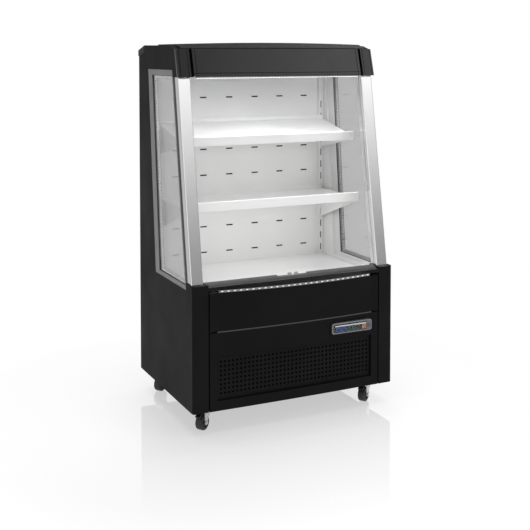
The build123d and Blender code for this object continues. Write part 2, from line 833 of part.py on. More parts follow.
def make_brackets(surface_z, depth, tilt):
    """Pair of tapered bracket plates with a hook in the upright's slot."""
    lean = radians(tilt)
    rear_edge = upright_front_y - 0.3
    plate_rear = upright_front_y - shelf_gap
    reach = (depth - bracket_short) * cos(lean)
    drop = (depth - bracket_short) * sin(lean)
    top = surface_z - shelf_sheet
    hook_top = top + hook_rise
    outline = [
        (rear_edge, hook_top),
        (plate_rear, hook_top),
        (plate_rear, top),
        (plate_rear - reach, top - drop),
        (plate_rear - reach, top - drop - bracket_nose),
        (rear_edge, top - bracket_height),
        (rear_edge, hook_top - hook_height),
        (rear_edge + hook_reach, hook_top - hook_height),
        (rear_edge + hook_reach, hook_top),
    ]
    with BuildPart() as brackets:
        for side in (-upright_x - bracket_sheet / 2, upright_x - bracket_sheet / 2):
            with BuildSketch(Plane.YZ.offset(side)):
                Polygon(*outline, align=None)
            extrude(amount=bracket_sheet)
    return brackets.part


shelf_lower = make_shelf(lower_shelf_z, lower_shelf_depth, 0.0)
shelf_upper = make_shelf(upper_shelf_z, upper_shelf_depth, upper_shelf_tilt)
brackets_lower = make_brackets(lower_shelf_z, lower_shelf_depth, 0.0)
brackets_upper = make_brackets(upper_shelf_z, upper_shelf_depth, upper_shelf_tilt)

# ================================================================ posts and windows
with BuildPart() as mullion_right:
    with BuildSketch(Plane.YZ.offset(post_in)):
        Polygon(
            (post_front(base_top), base_top),
            (post_front(base_top) + post_depth, base_top),
            (post_front(guide_top) + post_depth, guide_top),
            (post_front(guide_top), guide_top),
            align=None,
        )
    extrude(amount=post_width)
    long_edges = mullion_right.edges().filter_by(lambda e: e.length > opening_height)
    fillet(long_edges.sort_by(Axis.Y)[0:2], post_radius)
    with BuildSketch(Plane.YZ.offset(post_in + guide_depth + post_wall)):
        Polygon(
            (post_front(base_top) + post_wall, base_top),
            (post_front(base_top) + post_depth - post_wall, base_top),
            (post_front(guide_top) + post_depth - post_wall, guide_top),
            (post_front(guide_top) + post_wall, guide_top),
            align=None,
        )
    extrude(amount=post_width - guide_depth - 2 * post_wall, mode=Mode.SUBTRACT)
    with BuildSketch(Plane.YZ.offset(post_in)):
        Polygon(
            (post_front(base_top) + guide_setback - guide_width / 2, base_top),
            (post_front(base_top) + guide_setback + guide_width / 2, base_top),
            (post_front(guide_top) + guide_setback + guide_width / 2, guide_top),
            (post_front(guide_top) + guide_setback - guide_width / 2, guide_top),
            align=None,
        )
    extrude(amount=guide_depth, mode=Mode.SUBTRACT)
    with BuildSketch(Plane.XY.offset(canopy_bottom - fit)):
        with Locations((inner_half - fit + post_width / 2, post_front(guide_top))):
            Rectangle(post_width, 4 * post_depth)
    extrude(amount=guide_rise + 5.0, mode=Mode.SUBTRACT)
mullion_left = mirror(mullion_right.part, about=Plane.YZ)

frame_x = half_width - 1.0 - frame_depth
pane_x = (frame_x + (frame_depth - pane_gap) / 2 - pane, frame_x + (frame_depth + pane_gap) / 2)
clear = dict(rear=frame_rear, head=frame_head, sill=frame_sill, front=frame_front)
pane_edge = dict(
    rear=frame_rear - pane_lap, head=frame_head - pane_lap,
    sill=frame_sill - pane_lap, front=frame_front - pane_lap + 1.0,
)
with BuildPart() as window_frame_right:
    with BuildSketch(Plane.YZ.offset(frame_x)):
        Polygon(*window_corners(rear=fit, head=fit, sill=fit, front=fit), align=None)
        Polygon(*window_corners(**clear), align=None, mode=Mode.SUBTRACT)
    extrude(amount=frame_depth)
    for x in pane_x:
        with BuildSketch(Plane.YZ.offset(x)):
            Polygon(*window_corners(**pane_edge), align=None)
        extrude(amount=pane, mode=Mode.SUBTRACT)
window_frame_left = mirror(window_frame_right.part, about=Plane.YZ)

with BuildPart() as window_glass_right:
    for x in pane_x:
        with BuildSketch(Plane.YZ.offset(x + fit / 2)):
            Polygon(*window_corners(**{edge: width + fit for edge, width in pane_edge.items()}), align=None)
        extrude(amount=pane - fit)
window_glass_left = mirror(window_glass_right.part, about=Plane.YZ)

# ================================================================ canopy
with BuildPart() as canopy_fascia:
    fascia_points = [
        (fascia_top_y, canopy_top),
        (fascia_foot_y, canopy_bottom + fascia_lift),
        (fascia_foot_y + fascia_depth, canopy_bottom + fascia_lift),
        (fascia_top_y + fascia_depth + fascia_gap, canopy_top),
    ]
    with BuildSketch(Plane.YZ.offset(-fascia_half)) as fascia_section:
        Polygon(*fascia_points, align=None)
        fillet(fascia_section.vertices().sort_by(Axis.Y)[0:2], fascia_radius)
    extrude(amount=2 * fascia_half)
    with BuildSketch(Plane.YZ.offset(-fascia_half + fascia_wall)):
        Polygon(
            (fascia_top_y + fascia_wall, canopy_top - fascia_wall),
            (fascia_foot_y + fascia_wall, canopy_bottom + fascia_lift + fascia_wall),
            (fascia_foot_y + 2 * fascia_depth, canopy_bottom + fascia_lift + fascia_wall),
            (fascia_top_y + 2 * fascia_depth, canopy_top - fascia_wall),
            align=None,
        )
    extrude(amount=2 * (fascia_half - fascia_wall), mode=Mode.SUBTRACT)
    line_z = canopy_bottom + fascia_lift + fascia_strip
    line_y = fascia_top_y - (canopy_top - line_z) * fascia_slope
    with BuildSketch(Plane.YZ.offset(-fascia_half)):
        with Locations((line_y, line_z)):
            Rectangle(2 * line_depth, shadow_line)
    extrude(amount=2 * fascia_half, mode=Mode.SUBTRACT)
    for rib_x in (-fascia_half + fascia_rib, fascia_half - fascia_rib):
        with BuildSketch(Plane.YZ.offset(rib_x - shadow_line / 2)):
            Polygon(
                (fascia_top_y - line_reach, canopy_top + 1.0),
                (fascia_foot_y - line_reach, canopy_bottom + 1.0),
                (fascia_foot_y + line_depth, canopy_bottom + 1.0),
                (fascia_top_y + line_depth, canopy_top + 1.0),
                align=None,
            )
        extrude(amount=shadow_line, mode=Mode.SUBTRACT)

with BuildPart() as canopy_end_right:
    with BuildSketch(Plane.YZ.offset(cap_in)):
        Polygon(
            (fascia_top_y, canopy_top),
            (fascia_foot_y, canopy_bottom),
            (fascia_foot_y + cap_depth + end_swell, canopy_bottom),
            (fascia_top_y + cap_depth, canopy_top - end_step),
            (fascia_top_y + cap_depth, canopy_top),
            align=None,
        )
    extrude(amount=half_width - cap_in)
    cap_edges = canopy_end_right.edges().filter_by(lambda e: e.length > canopy_height)
    outer_edge = cap_edges.sort_by_distance((half_width, fascia_foot_y, canopy_bottom))[0]
    fillet(outer_edge, cap_radius)
    for groove_x in (cap_in + end_line_in, half_width - end_line_out):
        with BuildSketch(Plane.YZ.offset(groove_x - shadow_line / 2)):
            Polygon(
                (fascia_top_y - line_reach, canopy_top + 1.0),
                (fascia_foot_y - line_reach, canopy_bottom - 1.0),
                (fascia_foot_y + end_line_depth, canopy_bottom - 1.0),
                (fascia_top_y + end_line_depth, canopy_top + 1.0),
                align=None,
            )
        extrude(amount=shadow_line, mode=Mode.SUBTRACT)
canopy_end_left = mirror(canopy_end_right.part, about=Plane.YZ)

with BuildPart() as canopy_tray:
    tray_front_y = fascia_top_y + fascia_depth + fascia_gap
    web_y = back_inner_y - roof_plate
    vent_pitch = 2 * cap_in / vents
    with BuildSketch(Plane.YZ.offset(-inner_half + fit)):
        Polygon(
            (tray_front_y, canopy_top + tray_lip_rise),
            (fascia_top_y + roof_run, roof_z),
            (cap_front_y + cap_lap, roof_z),
            (cap_front_y + cap_lap, cap_foot_z + cap_slant),
            (back_inner_y, cap_foot_z + cap_slant - 1.0),
            (back_inner_y, ceiling_z),
            (blind_slot_y, ceiling_z),
            (blind_slot_y, ceiling_z + roof_plate),
            (web_y, ceiling_z + roof_plate),
            (web_y, cap_foot_z + cap_slant - roof_plate - 1.0),
            (cap_front_y - roof_plate + cap_lap, cap_foot_z + cap_slant - roof_plate - 1.0),
            (cap_front_y - roof_plate + cap_lap, roof_z - roof_plate),
            (fascia_top_y + roof_run, roof_z - roof_plate),
            (tray_front_y + roof_plate, canopy_top + tray_lip_rise - roof_plate),
            (tray_front_y + roof_plate, canopy_top - tray_lip),
            (tray_front_y, canopy_top - tray_lip),
            align=None,
        )
    extrude(amount=2 * (inner_half - fit))
    roll_z = canopy_bottom + roll_rise
    path_y = post_front(roll_z) + guide_setback
    roll_y = path_y + (roll_radius + cloth) / cos(radians(post_lean))
    for cheek_x in (-inner_half + fit, inner_half - fit - roller_cheek):
        with BuildSketch(Plane.YZ.offset(cheek_x)):
            Polygon(
                (tray_front_y, canopy_top + tray_lip_rise - roof_plate / 2),
                (fascia_top_y + roof_run, roof_z - roof_plate / 2),
                (roll_y + bearing_side, roll_z - bearing_side),
                (roll_y - bearing_side, roll_z - bearing_side),
                align=None,
            )
            with Locations((roll_y, roll_z)):
                Circle(roller_pin + running, mode=Mode.SUBTRACT)
        extrude(amount=roller_cheek)
    with BuildSketch(Plane.XY.offset(ceiling_z)):
        with Locations((0, blind_slot_y + honeycomb_lap + honeycomb_depth / 2)):
            Rectangle(2 * (fascia_half - honeycomb_lap), honeycomb_depth - honeycomb_lap)
        with Locations((0, web_y - vent_setback)):
            with GridLocations(vent_pitch, 1.0, vents, 1):
                Rectangle(vent_pitch - vent_web, vent_depth)
    extrude(amount=roof_plate, mode=Mode.SUBTRACT)

with BuildPart() as air_honeycomb:
    with BuildSketch(Plane.XY.offset(ceiling_z)):
        with Locations((0, blind_slot_y + honeycomb_lap + honeycomb_depth / 2)):
            Rectangle(2 * fascia_half, honeycomb_depth)
            cell_pitch = (2 * fascia_half - honeycomb_web) / honeycomb_cells
            row_pitch = (honeycomb_depth - honeycomb_web) / 2
            with GridLocations(cell_pitch, row_pitch, honeycomb_cells, 2):
                Rectangle(cell_pitch - honeycomb_web, row_pitch - honeycomb_web, mode=Mode.SUBTRACT)
    extrude(amount=-honeycomb_height)

with BuildPart() as led_strip_canopy:
    with BuildSketch(Plane.YZ.offset(-fascia_half + canopy_led_end)):
        with Locations((fascia_foot_y + canopy_led_setback, canopy_bottom - canopy_led_drop)):
            RectangleRounded(canopy_led_depth, canopy_led_height, 1.5)
    extrude(amount=2 * (fascia_half - canopy_led_end))

with BuildPart() as roof_panel:
    lid_half = half_width - roof_panel_inset
    level_y = fascia_top_y + roof_run
    for y, low, edge, crown in (
        (fascia_top_y + fascia_gap, canopy_top + lid_gap, lid_front_edge, lid_front_crown),
        (level_y, roof_z, roof_panel_edge, roof_crown),
    ):
        with BuildSketch(Plane.XZ.offset(-y)):
            with BuildLine():
                left = Line((-lid_half, low), (-lid_half, low + edge))
                top = ThreePointArc(left @ 1, (0, low + edge + crown), (lid_half, low + edge))
                right = Line(top @ 1, (lid_half, low))
                Line(right @ 1, left @ 0)
            make_face()
    loft(ruled=True)
    with BuildSketch(Plane.XZ.offset(-level_y)):
        with BuildLine():
            left = Line((-lid_half, roof_z), (-lid_half, roof_z + roof_panel_edge))
            top = ThreePointArc(
                left @ 1,
                (0, roof_z + roof_panel_edge + roof_crown),
                (lid_half, roof_z + roof_panel_edge),
            )
            right = Line(top @ 1, (lid_half, roof_z))
            Line(right @ 1, left @ 0)
        make_face()
    extrude(amount=-(roof_panel_rear - level_y))

with BuildPart() as rear_cap:
    shoulder_corner = (0, rear_y + cap_overhang, roof_z - cap_corner_drop)
    cap_points = [
        (cap_front_y, roof_z),
        (cap_front_y, roof_z + cap_rise),
        (rear_y + cap_overhang, roof_z - cap_corner_drop),
        (rear_y + cap_overhang, cap_foot_z),
        (rear_y, cap_foot_z),
        (cap_front_y + cap_lap, cap_foot_z + cap_slant),
        (cap_front_y + cap_lap, roof_z),
    ]
    with BuildSketch(Plane.YZ.offset(-half_width)) as cap_section:
        Polygon(*cap_points, align=None)
        fillet(cap_section.vertices().sort_by_distance(shoulder_corner)[0], cap_shoulder)
    extrude(amount=cabinet_width)

# ================================================================ night blind
bar_z = canopy_bottom + bar_rise
bar_y = post_front(bar_z) + guide_setback
bar_plane = Plane(
    origin=(0, bar_y, bar_z),
    x_dir=(0, cos(radians(post_lean)), -sin(radians(post_lean))),
    z_dir=(1, 0, 0),
)
with BuildPart() as night_blind_bar:
    bar_half = post_in - bar_end_play
    with BuildSketch(bar_plane.offset(-bar_half)):
        RectangleRounded(bar_depth, bar_height, bar_radius)
    extrude(amount=2 * bar_half)
    with BuildSketch(bar_plane.offset(-post_in - bar_tongue)):
        Rectangle(guide_width - tongue_play, bar_height - tongue_trim)
    extrude(amount=2 * (post_in + bar_tongue))
    handle_plane = Plane(
        origin=(0, bar_y, bar_z),
        x_dir=(1, 0, 0),
        z_dir=(0, -cos(radians(post_lean)), sin(radians(post_lean))),
    )
    with BuildSketch(handle_plane):
        with Locations((0, -bar_height / 2 - handle_height / 2 + handle_lap)):
            Rectangle(handle_width, handle_height + 2 * handle_lap)
        with Locations((0, -bar_height / 2 - handle_height / 2 + handle_bar / 2)):
            Rectangle(handle_width - 3 * handle_bar, handle_height - handle_bar, mode=Mode.SUBTRACT)
    extrude(amount=handle_bar)

roller_axis = Plane(origin=(0, roll_y, roll_z), x_dir=(0, 1, 0), z_dir=(1, 0, 0))
with BuildPart() as night_blind_roller:
    cheek_in = inner_half - fit - roller_cheek
    roller_half = cheek_in - roller_end_play
    with BuildSketch(roller_axis.offset(-roller_half)):
        Circle(roller_radius)
    extrude(amount=2 * roller_half)
    with BuildSketch(roller_axis.offset(-cheek_in - roller_cheek + roller_pin_end)):
        Circle(roller_pin)
    extrude(amount=2 * (cheek_in + roller_cheek - roller_pin_end))

with BuildPart() as night_blind_screen:
    screen_half = post_in - roll_end
    with BuildSketch(roller_axis.offset(-screen_half)):
        Circle(roll_radius)
        Circle(roller_radius, mode=Mode.SUBTRACT)
    extrude(amount=2 * screen_half)

with BuildPart() as night_blind_apron:
    apron_plane = Plane(origin=(0, bar_y, bar_z), x_dir=bar_plane.x_dir, z_dir=(1, 0, 0))
    apron_length = (roll_z - bar_z) / cos(radians(post_lean)) - bar_height / 2 - 2 * cloth
    with BuildSketch(apron_plane.offset(-screen_half)):
        with Locations((0, bar_height / 2 + apron_length / 2)):
            Rectangle(cloth, apron_length)
    extrude(amount=2 * screen_half)

# ================================================================ controller
controller_z = floor_gap + controller_rise
controller_back_y = front_y - controller_setout
with BuildPart() as controller_housing:
    with BuildSketch(Plane.XZ.offset(-front_y - controller_seat)):
        with Locations((controller_x, controller_z)):
            RectangleRounded(controller_width, controller_height, controller_radius)
    extrude(amount=controller_setout + controller_depth + controller_seat)
    front_rim = controller_housing.faces().sort_by(Axis.Y)[0].edges()
    fillet(front_rim, controller_round)
    add(lower_outer, mode=Mode.SUBTRACT)
    with BuildSketch(Plane.XZ.offset(-panel_back_y + 1.0)):
        with Locations((controller_x, controller_z)):
            Rectangle(
                controller_width - controller_side_lap - 2 * fit,
                controller_height - controller_edge_lap - 2 * fit,
            )
    extrude(amount=panel_depth + controller_setout)
    with BuildSketch(Plane.XZ.offset(-controller_back_y + controller_wall)):
        with Locations((controller_x, controller_z)):
            RectangleRounded(
                controller_width - 2 * controller_rim, controller_height - 2 * controller_rim, controller_rim
            )
    extrude(amount=controller_depth, mode=Mode.SUBTRACT)

lens_back_y = controller_back_y - controller_depth + lens_setback
button_x = controller_x + controller_width / 2 - button_inset
with BuildPart() as controller_lens:
    with BuildSketch(Plane.XZ.offset(-lens_back_y)):
        with Locations((controller_x, controller_z)):
            RectangleRounded(
                controller_width - 2 * (controller_rim + fit),
                controller_height - 2 * (controller_rim + fit),
                lens_radius,
            )
        with Locations((button_x, controller_z)):
            Circle(button_radius + button_play, mode=Mode.SUBTRACT)
    extrude(amount=lens_depth)
    lens_rim = controller_lens.faces().sort_by(Axis.Y)[0].outer_wire().edges()
    fillet(lens_rim, lens_round)

with BuildPart() as controller_button:
    with BuildSketch(Plane.XZ.offset(-lens_back_y - lens_setback)):
        with Locations((button_x, controller_z)):
            Circle(button_radius)
    extrude(amount=lens_depth + button_proud + lens_setback)
    fillet(controller_button.faces().sort_by(Axis.Y)[0].edges(), button_round)
    with BuildSketch(Plane.XZ.offset(-lens_back_y - lens_setback)):
        with Locations((button_x, controller_z)):
            Circle(button_radius + button_flange)
    extrude(amount=button_flange_sheet)

# ================================================================ machine compartment
with BuildPart() as compressor:
    with BuildSketch(Plane.XY.offset(tray_top)):
        with Locations((compressor_x, compressor_y)):
            with GridLocations(2 * compressor_radius, 2 * (compressor_radius - compressor_foot_inset), 2, 2):
                Circle(compressor_foot_radius)
    extrude(amount=compressor_foot)
    with BuildSketch(Plane.XY.offset(tray_top + compressor_foot)):
        with Locations((compressor_x, compressor_y)):
            RectangleRounded(
                2 * (compressor_radius + compressor_plate_proud),
                2 * (compressor_radius - compressor_plate_inset),
                compressor_foot_radius,
            )
    extrude(amount=tray_sheet)
    pot_foot = tray_top + compressor_foot + tray_sheet
    pot_side = compressor_radius - compressor_round
    half_turn = radians(45)
    with BuildSketch(Plane(origin=(compressor_x, compressor_y, 0), x_dir=(1, 0, 0), z_dir=(0, -1, 0))):
        with BuildLine():
            floor_line = Line((0, pot_foot), (pot_side, pot_foot))
            round_in = ThreePointArc(
                floor_line @ 1,
                (
                    pot_side + compressor_round * sin(half_turn),
                    pot_foot + compressor_round * (1 - cos(half_turn)),
                ),
                (compressor_radius, pot_foot + compressor_round),
            )
            shoulder = pot_foot + compressor_height - compressor_radius
            belly = Line(round_in @ 1, (compressor_radius, shoulder))
            crown = ThreePointArc(
                belly @ 1,
                (compressor_radius * cos(half_turn), shoulder + compressor_radius * sin(half_turn)),
                (0, shoulder + compressor_radius),
            )
            Line(crown @ 1, floor_line @ 0)
        make_face()
    revolve(axis=Axis((compressor_x, compressor_y, 0), (0, 0, 1)))

condenser_bottom = tray_top
condenser_mid_z = tray_top + condenser_lift + condenser_height / 2
shroud_front_y = condenser_y + condenser_depth / 2
shroud_back_y = shroud_front_y + shroud_depth
motor_front_y = shroud_back_y + shroud_sheet
condenser_hole = condenser_fan_radius + fan_clearance
with BuildPart() as condenser:
    with BuildSketch(Plane.XZ.offset(-shroud_front_y)):
        with Locations((condenser_x, condenser_mid_z)):
            Rectangle(condenser_width, condenser_height)
    extrude(amount=condenser_depth)
    with BuildSketch(Plane.XZ.offset(-condenser_y + condenser_depth / 2 - fin_slot_depth)):
        with Locations((condenser_x, condenser_mid_z)):
            with GridLocations(condenser_fin_pitch, 1.0, fin_slots, 1):
                Rectangle(condenser_fin_slot, condenser_height - 2 * condenser_fin_edge)
    extrude(amount=fin_slot_depth, mode=Mode.SUBTRACT)
    with BuildSketch(Plane.XZ.offset(-shroud_back_y)):
        with Locations((condenser_x, condenser_mid_z)):
            Rectangle(condenser_width, condenser_height)
    extrude(amount=shroud_depth)
    with BuildSketch(Plane.XZ.offset(-shroud_back_y + shroud_sheet)):
        with Locations((condenser_x, condenser_mid_z)):
            Rectangle(condenser_width - 2 * shroud_sheet, condenser_height - 2 * shroud_sheet)
    extrude(amount=shroud_depth - shroud_sheet, mode=Mode.SUBTRACT)
    with BuildSketch(Plane.XZ.offset(-shroud_back_y)):
        with Locations((condenser_x, condenser_mid_z)):
            Circle(condenser_hole)
    extrude(amount=shroud_sheet, mode=Mode.SUBTRACT)
    with BuildSketch(Plane.XZ.offset(-motor_front_y - motor_bar_depth)):
        with Locations((condenser_x, condenser_mid_z)):
            Rectangle(2 * (condenser_hole + motor_bar_lap), motor_bar)
            Rectangle(motor_bar, 2 * (condenser_hole + motor_bar_lap))
    extrude(amount=motor_bar_depth + shroud_sheet)
    with BuildSketch(Plane.XZ.offset(-motor_front_y - motor_bar_depth - motor_length)):
        with Locations((condenser_x, condenser_mid_z)):
            Circle(motor_radius)
    extrude(amount=motor_length)
    with BuildSketch(Plane.XZ.offset(-motor_front_y)):
        with Locations((condenser_x, condenser_mid_z)):
            Circle(motor_shaft)
    extrude(amount=fan_depth + 4.0)
    with BuildSketch(Plane.XY.offset(condenser_bottom)):
        with Locations((condenser_x, condenser_y)):
            with GridLocations(condenser_width - condenser_foot, 1.0, 2, 1):
                Rectangle(condenser_foot, condenser_depth - 2 * shroud_sheet)
    extrude(amount=condenser_lift + shroud_sheet)

condenser_blade = fan_blade(fan_hub_radius, condenser_fan_radius, blade_pitch, 46.0, 2.0)
condenser_fan_plane = Plane(
    origin=(condenser_x, motor_front_y - 4.0 - fan_depth / 2, condenser_mid_z),
    x_dir=(1, 0, 0), z_dir=(0, -1, 0),
)
with BuildPart(condenser_fan_plane) as condenser_fan:
    Cylinder(fan_hub_radius, fan_depth - 4.0)
    with PolarLocations(0, fan_blades):
        add(condenser_blade)
    Cylinder(motor_shaft + running, fan_depth, mode=Mode.SUBTRACT)

tub_inside = tub_bottom + tub_floor
evaporator_mid_z = tub_inside + evaporator_height / 2
evaporator_fan_z = tub_inside + (tub_height - tub_floor) / 2
evaporator_hole = evaporator_fan_radius + fan_clearance
with BuildPart() as evaporator:
    with BuildSketch(Plane.XZ.offset(-evaporator_y - evaporator_depth / 2)):
        with Locations((0, evaporator_mid_z)):
            Rectangle(evaporator_width, evaporator_height)
    extrude(amount=evaporator_depth)
    with BuildSketch(Plane.XZ.offset(-evaporator_y + evaporator_depth / 2 - fin_slot_depth)):
        with Locations((0, evaporator_mid_z)):
            with GridLocations(evaporator_fin_pitch, 1.0, fin_slots, 1):
                Rectangle(evaporator_fin_slot, evaporator_height - 2 * evaporator_fin_edge)
    extrude(amount=fin_slot_depth, mode=Mode.SUBTRACT)
    with BuildSketch(Plane.XZ.offset(-baffle_y)):
        with Locations((0, (tub_inside + tub_top) / 2)):
            Rectangle(2 * (inner_half - tub_side - baffle_sheet), tub_top - tub_inside)
        with Locations((0, evaporator_fan_z)):
            Circle(evaporator_hole, mode=Mode.SUBTRACT)
    extrude(amount=baffle_sheet)
    for arm_x in (-evaporator_width / 2, evaporator_width / 2 - baffle_sheet):
        with BuildSketch(Plane.YZ.offset(arm_x)):
            Polygon(
                (baffle_y - 1.0, tub_inside),
                (evaporator_y, tub_inside),
                (evaporator_y, tub_inside + baffle_arm),
                (baffle_y - 1.0, tub_inside + baffle_arm),
                align=None,
            )
        extrude(amount=baffle_sheet)
    with BuildSketch(Plane.XZ.offset(-baffle_y - 3.0)):
        with Locations((0, evaporator_fan_z)):
            Rectangle(2 * evaporator_hole + 12.0, 10.0)
            Rectangle(10.0, 2 * evaporator_hole)
    extrude(amount=4.0)
    with BuildSketch(Plane.XZ.offset(-baffle_y - 3.0 - evaporator_motor_length)):
        with Locations((0, evaporator_fan_z)):
            Circle(evaporator_motor_radius)
    extrude(amount=evaporator_motor_length)
    with BuildSketch(Plane.XZ.offset(-baffle_y)):
        with Locations((0, evaporator_fan_z)):
            Circle(motor_shaft)
    extrude(amount=fan_depth + 4.0)

evaporator_blade = fan_blade(evaporator_hub_radius, evaporator_fan_radius, blade_pitch, 26.0, 1.6)
evaporator_fan_plane = Plane(
    origin=(0, baffle_y - 3.0 - fan_depth / 2, evaporator_fan_z), x_dir=(1, 0, 0), z_dir=(0, -1, 0)
)
with BuildPart(evaporator_fan_plane) as evaporator_fan:
    Cylinder(evaporator_hub_radius, fan_depth - 4.0)
    with PolarLocations(0, fan_blades):
        add(evaporator_blade)
    Cylinder(motor_shaft + running, fan_depth, mode=Mode.SUBTRACT)

with BuildPart() as drip_tray:
    with BuildSketch(Plane.XY.offset(tray_top)):
        with Locations((drip_x, drip_y)):
            RectangleRounded(drip_width, drip_depth, drip_radius)
    extrude(amount=drip_height)
    with BuildSketch(Plane.XY.offset(tray_top + drip_floor)):
        with Locations((drip_x, drip_y)):
            RectangleRounded(
                drip_width - 2 * drip_wall, drip_depth - 2 * drip_wall, drip_radius - drip_wall
            )
    extrude(amount=drip_height, mode=Mode.SUBTRACT)


# ================================================================ casters
def caster_plane(x, y):
    """Vertical plane through the swivel axis, X along the trail and Y up."""
    turn = radians(caster_heading)
    return Plane(
        origin=(x, y, 0), x_dir=(cos(turn), sin(turn), 0), z_dir=(sin(turn), -cos(turn), 0)
    )


def make_fork(x, y, braked):
    """Swivel fork: race, crown, two tapered cheeks and the wheel's axle."""
    upright = caster_plane(x, y)
    cheek = wheel_width / 2 + wheel_gap
    with BuildPart() as fork:
        for side in (-cheek - fork_sheet, cheek):
            with BuildSketch(upright.offset(side)):
                Polygon(
                    (-fork_rear, fork_top),
                    (fork_front, fork_top),
                    (caster_trail + fork_foot_radius, wheel_radius + 2.0),
                    (caster_trail - fork_foot_radius, wheel_radius + 2.0),
                    align=None,
                )
                with Locations((caster_trail, wheel_radius)):
                    Circle(fork_foot_radius)
                if braked:
                    with Locations((pedal_u, pedal_z)):
                        Circle(pedal_pin + running, mode=Mode.SUBTRACT)
            extrude(amount=fork_sheet)
        with BuildSketch(upright.offset(-cheek - fork_sheet)):
            with Locations(((fork_front - fork_rear) / 2, fork_top - fork_sheet / 2)):
                Rectangle(fork_front + fork_rear, fork_sheet)
        extrude(amount=2 * (cheek + fork_sheet))
        with BuildSketch(upright.offset(-cheek - fork_sheet - axle_end)):
            with Locations((caster_trail, wheel_radius)):
                Circle(axle_radius)
        extrude(amount=2 * (cheek + fork_sheet + axle_end))
        with BuildSketch(Plane.XY.offset(fork_top)):
            with Locations((x, y)):
                Circle(race_radius)
        extrude(amount=floor_gap - caster_plate - race_gap - fork_top)
        with BuildSketch(Plane.XY.offset(fork_top - fork_sheet)):
            with Locations((x, y)):
                Circle(king_pin + running)
        extrude(amount=floor_gap - fork_top, mode=Mode.SUBTRACT)
    return fork.part


def make_wheel(x, y):
    """Wheel with a rounded tread, dished sides and a plain bore."""
    upright = caster_plane(x, y)
    with BuildPart() as wheel:
        with BuildSketch(upright.offset(-wheel_width / 2)):
            with Locations((caster_trail, wheel_radius)):
                Circle(wheel_radius)
        extrude(amount=wheel_width)
        fillet(wheel.edges().filter_by(GeomType.CIRCLE), tread_radius)
        for side in (-wheel_width / 2, wheel_width / 2 - hub_dish):
            with BuildSketch(upright.offset(side)):
                with Locations((caster_trail, wheel_radius)):
                    Circle(wheel_radius - hub_rim)
                    Circle(fork_foot_radius, mode=Mode.SUBTRACT)
            extrude(amount=hub_dish, mode=Mode.SUBTRACT)
        with BuildSketch(upright.offset(-wheel_width)):
            with Locations((caster_trail, wheel_radius)):
                Circle(axle_radius + running)
        extrude(amount=2 * wheel_width, mode=Mode.SUBTRACT)
    return wheel.part


def make_pedal(x, y):
    """Brake pedal: pin in the fork's cheeks, a shoe over the tread and a turned-down tip."""
    upright = caster_plane(x, y)
    cheek = wheel_width / 2 + wheel_gap
    with BuildPart() as pedal:
        with BuildSketch(upright.offset(-pedal_width / 2)):
            Polygon(
                (pedal_u, pedal_z + 3.2),
                (pedal_u, pedal_z - 3.2),
                (pedal_u + 14.0, pedal_z - 5.0),
                (pedal_u + 18.0, pedal_z - 7.6),
                (pedal_u + 23.0, pedal_z - 7.6),
                (pedal_u + 27.0, pedal_z - 7.0),
                (pedal_u + 42.0, pedal_z - 14.0),
                (pedal_u + 43.0, pedal_z - 9.0),
                (pedal_u + 28.0, pedal_z - 1.0),
                align=None,
            )
            with Locations((pedal_u, pedal_z)):
                Circle(3.6)
        extrude(amount=pedal_width)
        with BuildSketch(upright.offset(-cheek - fork_sheet)):
            with Locations((pedal_u, pedal_z)):
                Circle(pedal_pin)
        extrude(amount=2 * (cheek + fork_sheet))
    return pedal.part


corners = {
    "fl": (-caster_x, caster_front_y),
    "fr": (caster_x, caster_front_y),
    "rl": (-caster_x, caster_rear_y),
    "rr": (caster_x, caster_rear_y),
}

# ================================================================ export
pieces = {
    "base_frame": base_frame.part,
    "side_panel_left": side_panel_left,
    "side_panel_right": side_panel_right.part,
    "back_panel": back_panel.part,
    "cable_gland": cable_gland.part,
    "evaporator_tub": evaporator_tub.part,
    "corner_post_left": corner_post_left,
    "corner_post_right": corner_post_right.part,
    "front_upper_panel": front_upper_panel.part,
    "front_lower_panel": front_lower_panel.part,
    "vent_grille": vent_grille.part,
    "trim_strip": trim_strip.part,
    "lip_rail": lip_rail.part,
    "led_strip_lip": led_strip_lip.part,
    "blind_catch": blind_catch.part,
    "deck_panel": deck_panel.part,
    "duct_panel": duct_panel.part,
    "shelf_upright_left": shelf_upright_left,
    "shelf_upright_right": shelf_upright_right.part,
    "shelf_lower": shelf_lower,
    "shelf_upper": shelf_upper,
    "brackets_lower": brackets_lower,
    "brackets_upper": brackets_upper,
    "mullion_left": mullion_left,
    "mullion_right": mullion_right.part,
    "window_frame_left": window_frame_left,
    "window_frame_right": window_frame_right.part,
    "window_glass_left": window_glass_left,
    "window_glass_right": window_glass_right.part,
    "canopy_fascia": canopy_fascia.part,
    "canopy_end_left": canopy_end_left,
    "canopy_end_right": canopy_end_right.part,
    "canopy_tray": canopy_tray.part,
    "air_honeycomb": air_honeycomb.part,
    "led_strip_canopy": led_strip_canopy.part,
    "roof_panel": roof_panel.part,
    "rear_cap": rear_cap.part,
    "night_blind_bar": night_blind_bar.part,
    "night_blind_roller": night_blind_roller.part,
    "night_blind_screen": night_blind_screen.part,
    "night_blind_apron": night_blind_apron.part,
    "controller_housing": controller_housing.part,
    "controller_lens": controller_lens.part,
    "controller_button": controller_button.part,
    "compressor": compressor.part,
    "condenser": condenser.part,
    "condenser_fan": condenser_fan.part,
    "evaporator": evaporator.part,
    "evaporator_fan": evaporator_fan.part,
    "drip_tray": drip_tray.part,
}
for corner, (x, y) in corners.items():
    pieces[f"caster_fork_{corner}"] = make_fork(x, y, corner in ("fl", "fr"))
    pieces[f"caster_wheel_{corner}"] = make_wheel(x, y)
for corner in ("fl", "fr"):
    pieces[f"brake_pedal_{corner}"] = make_pedal(*corners[corner])

for name, piece in pieces.items():
    piece.label = name
    export_step(piece, f"parts/{name}.step")
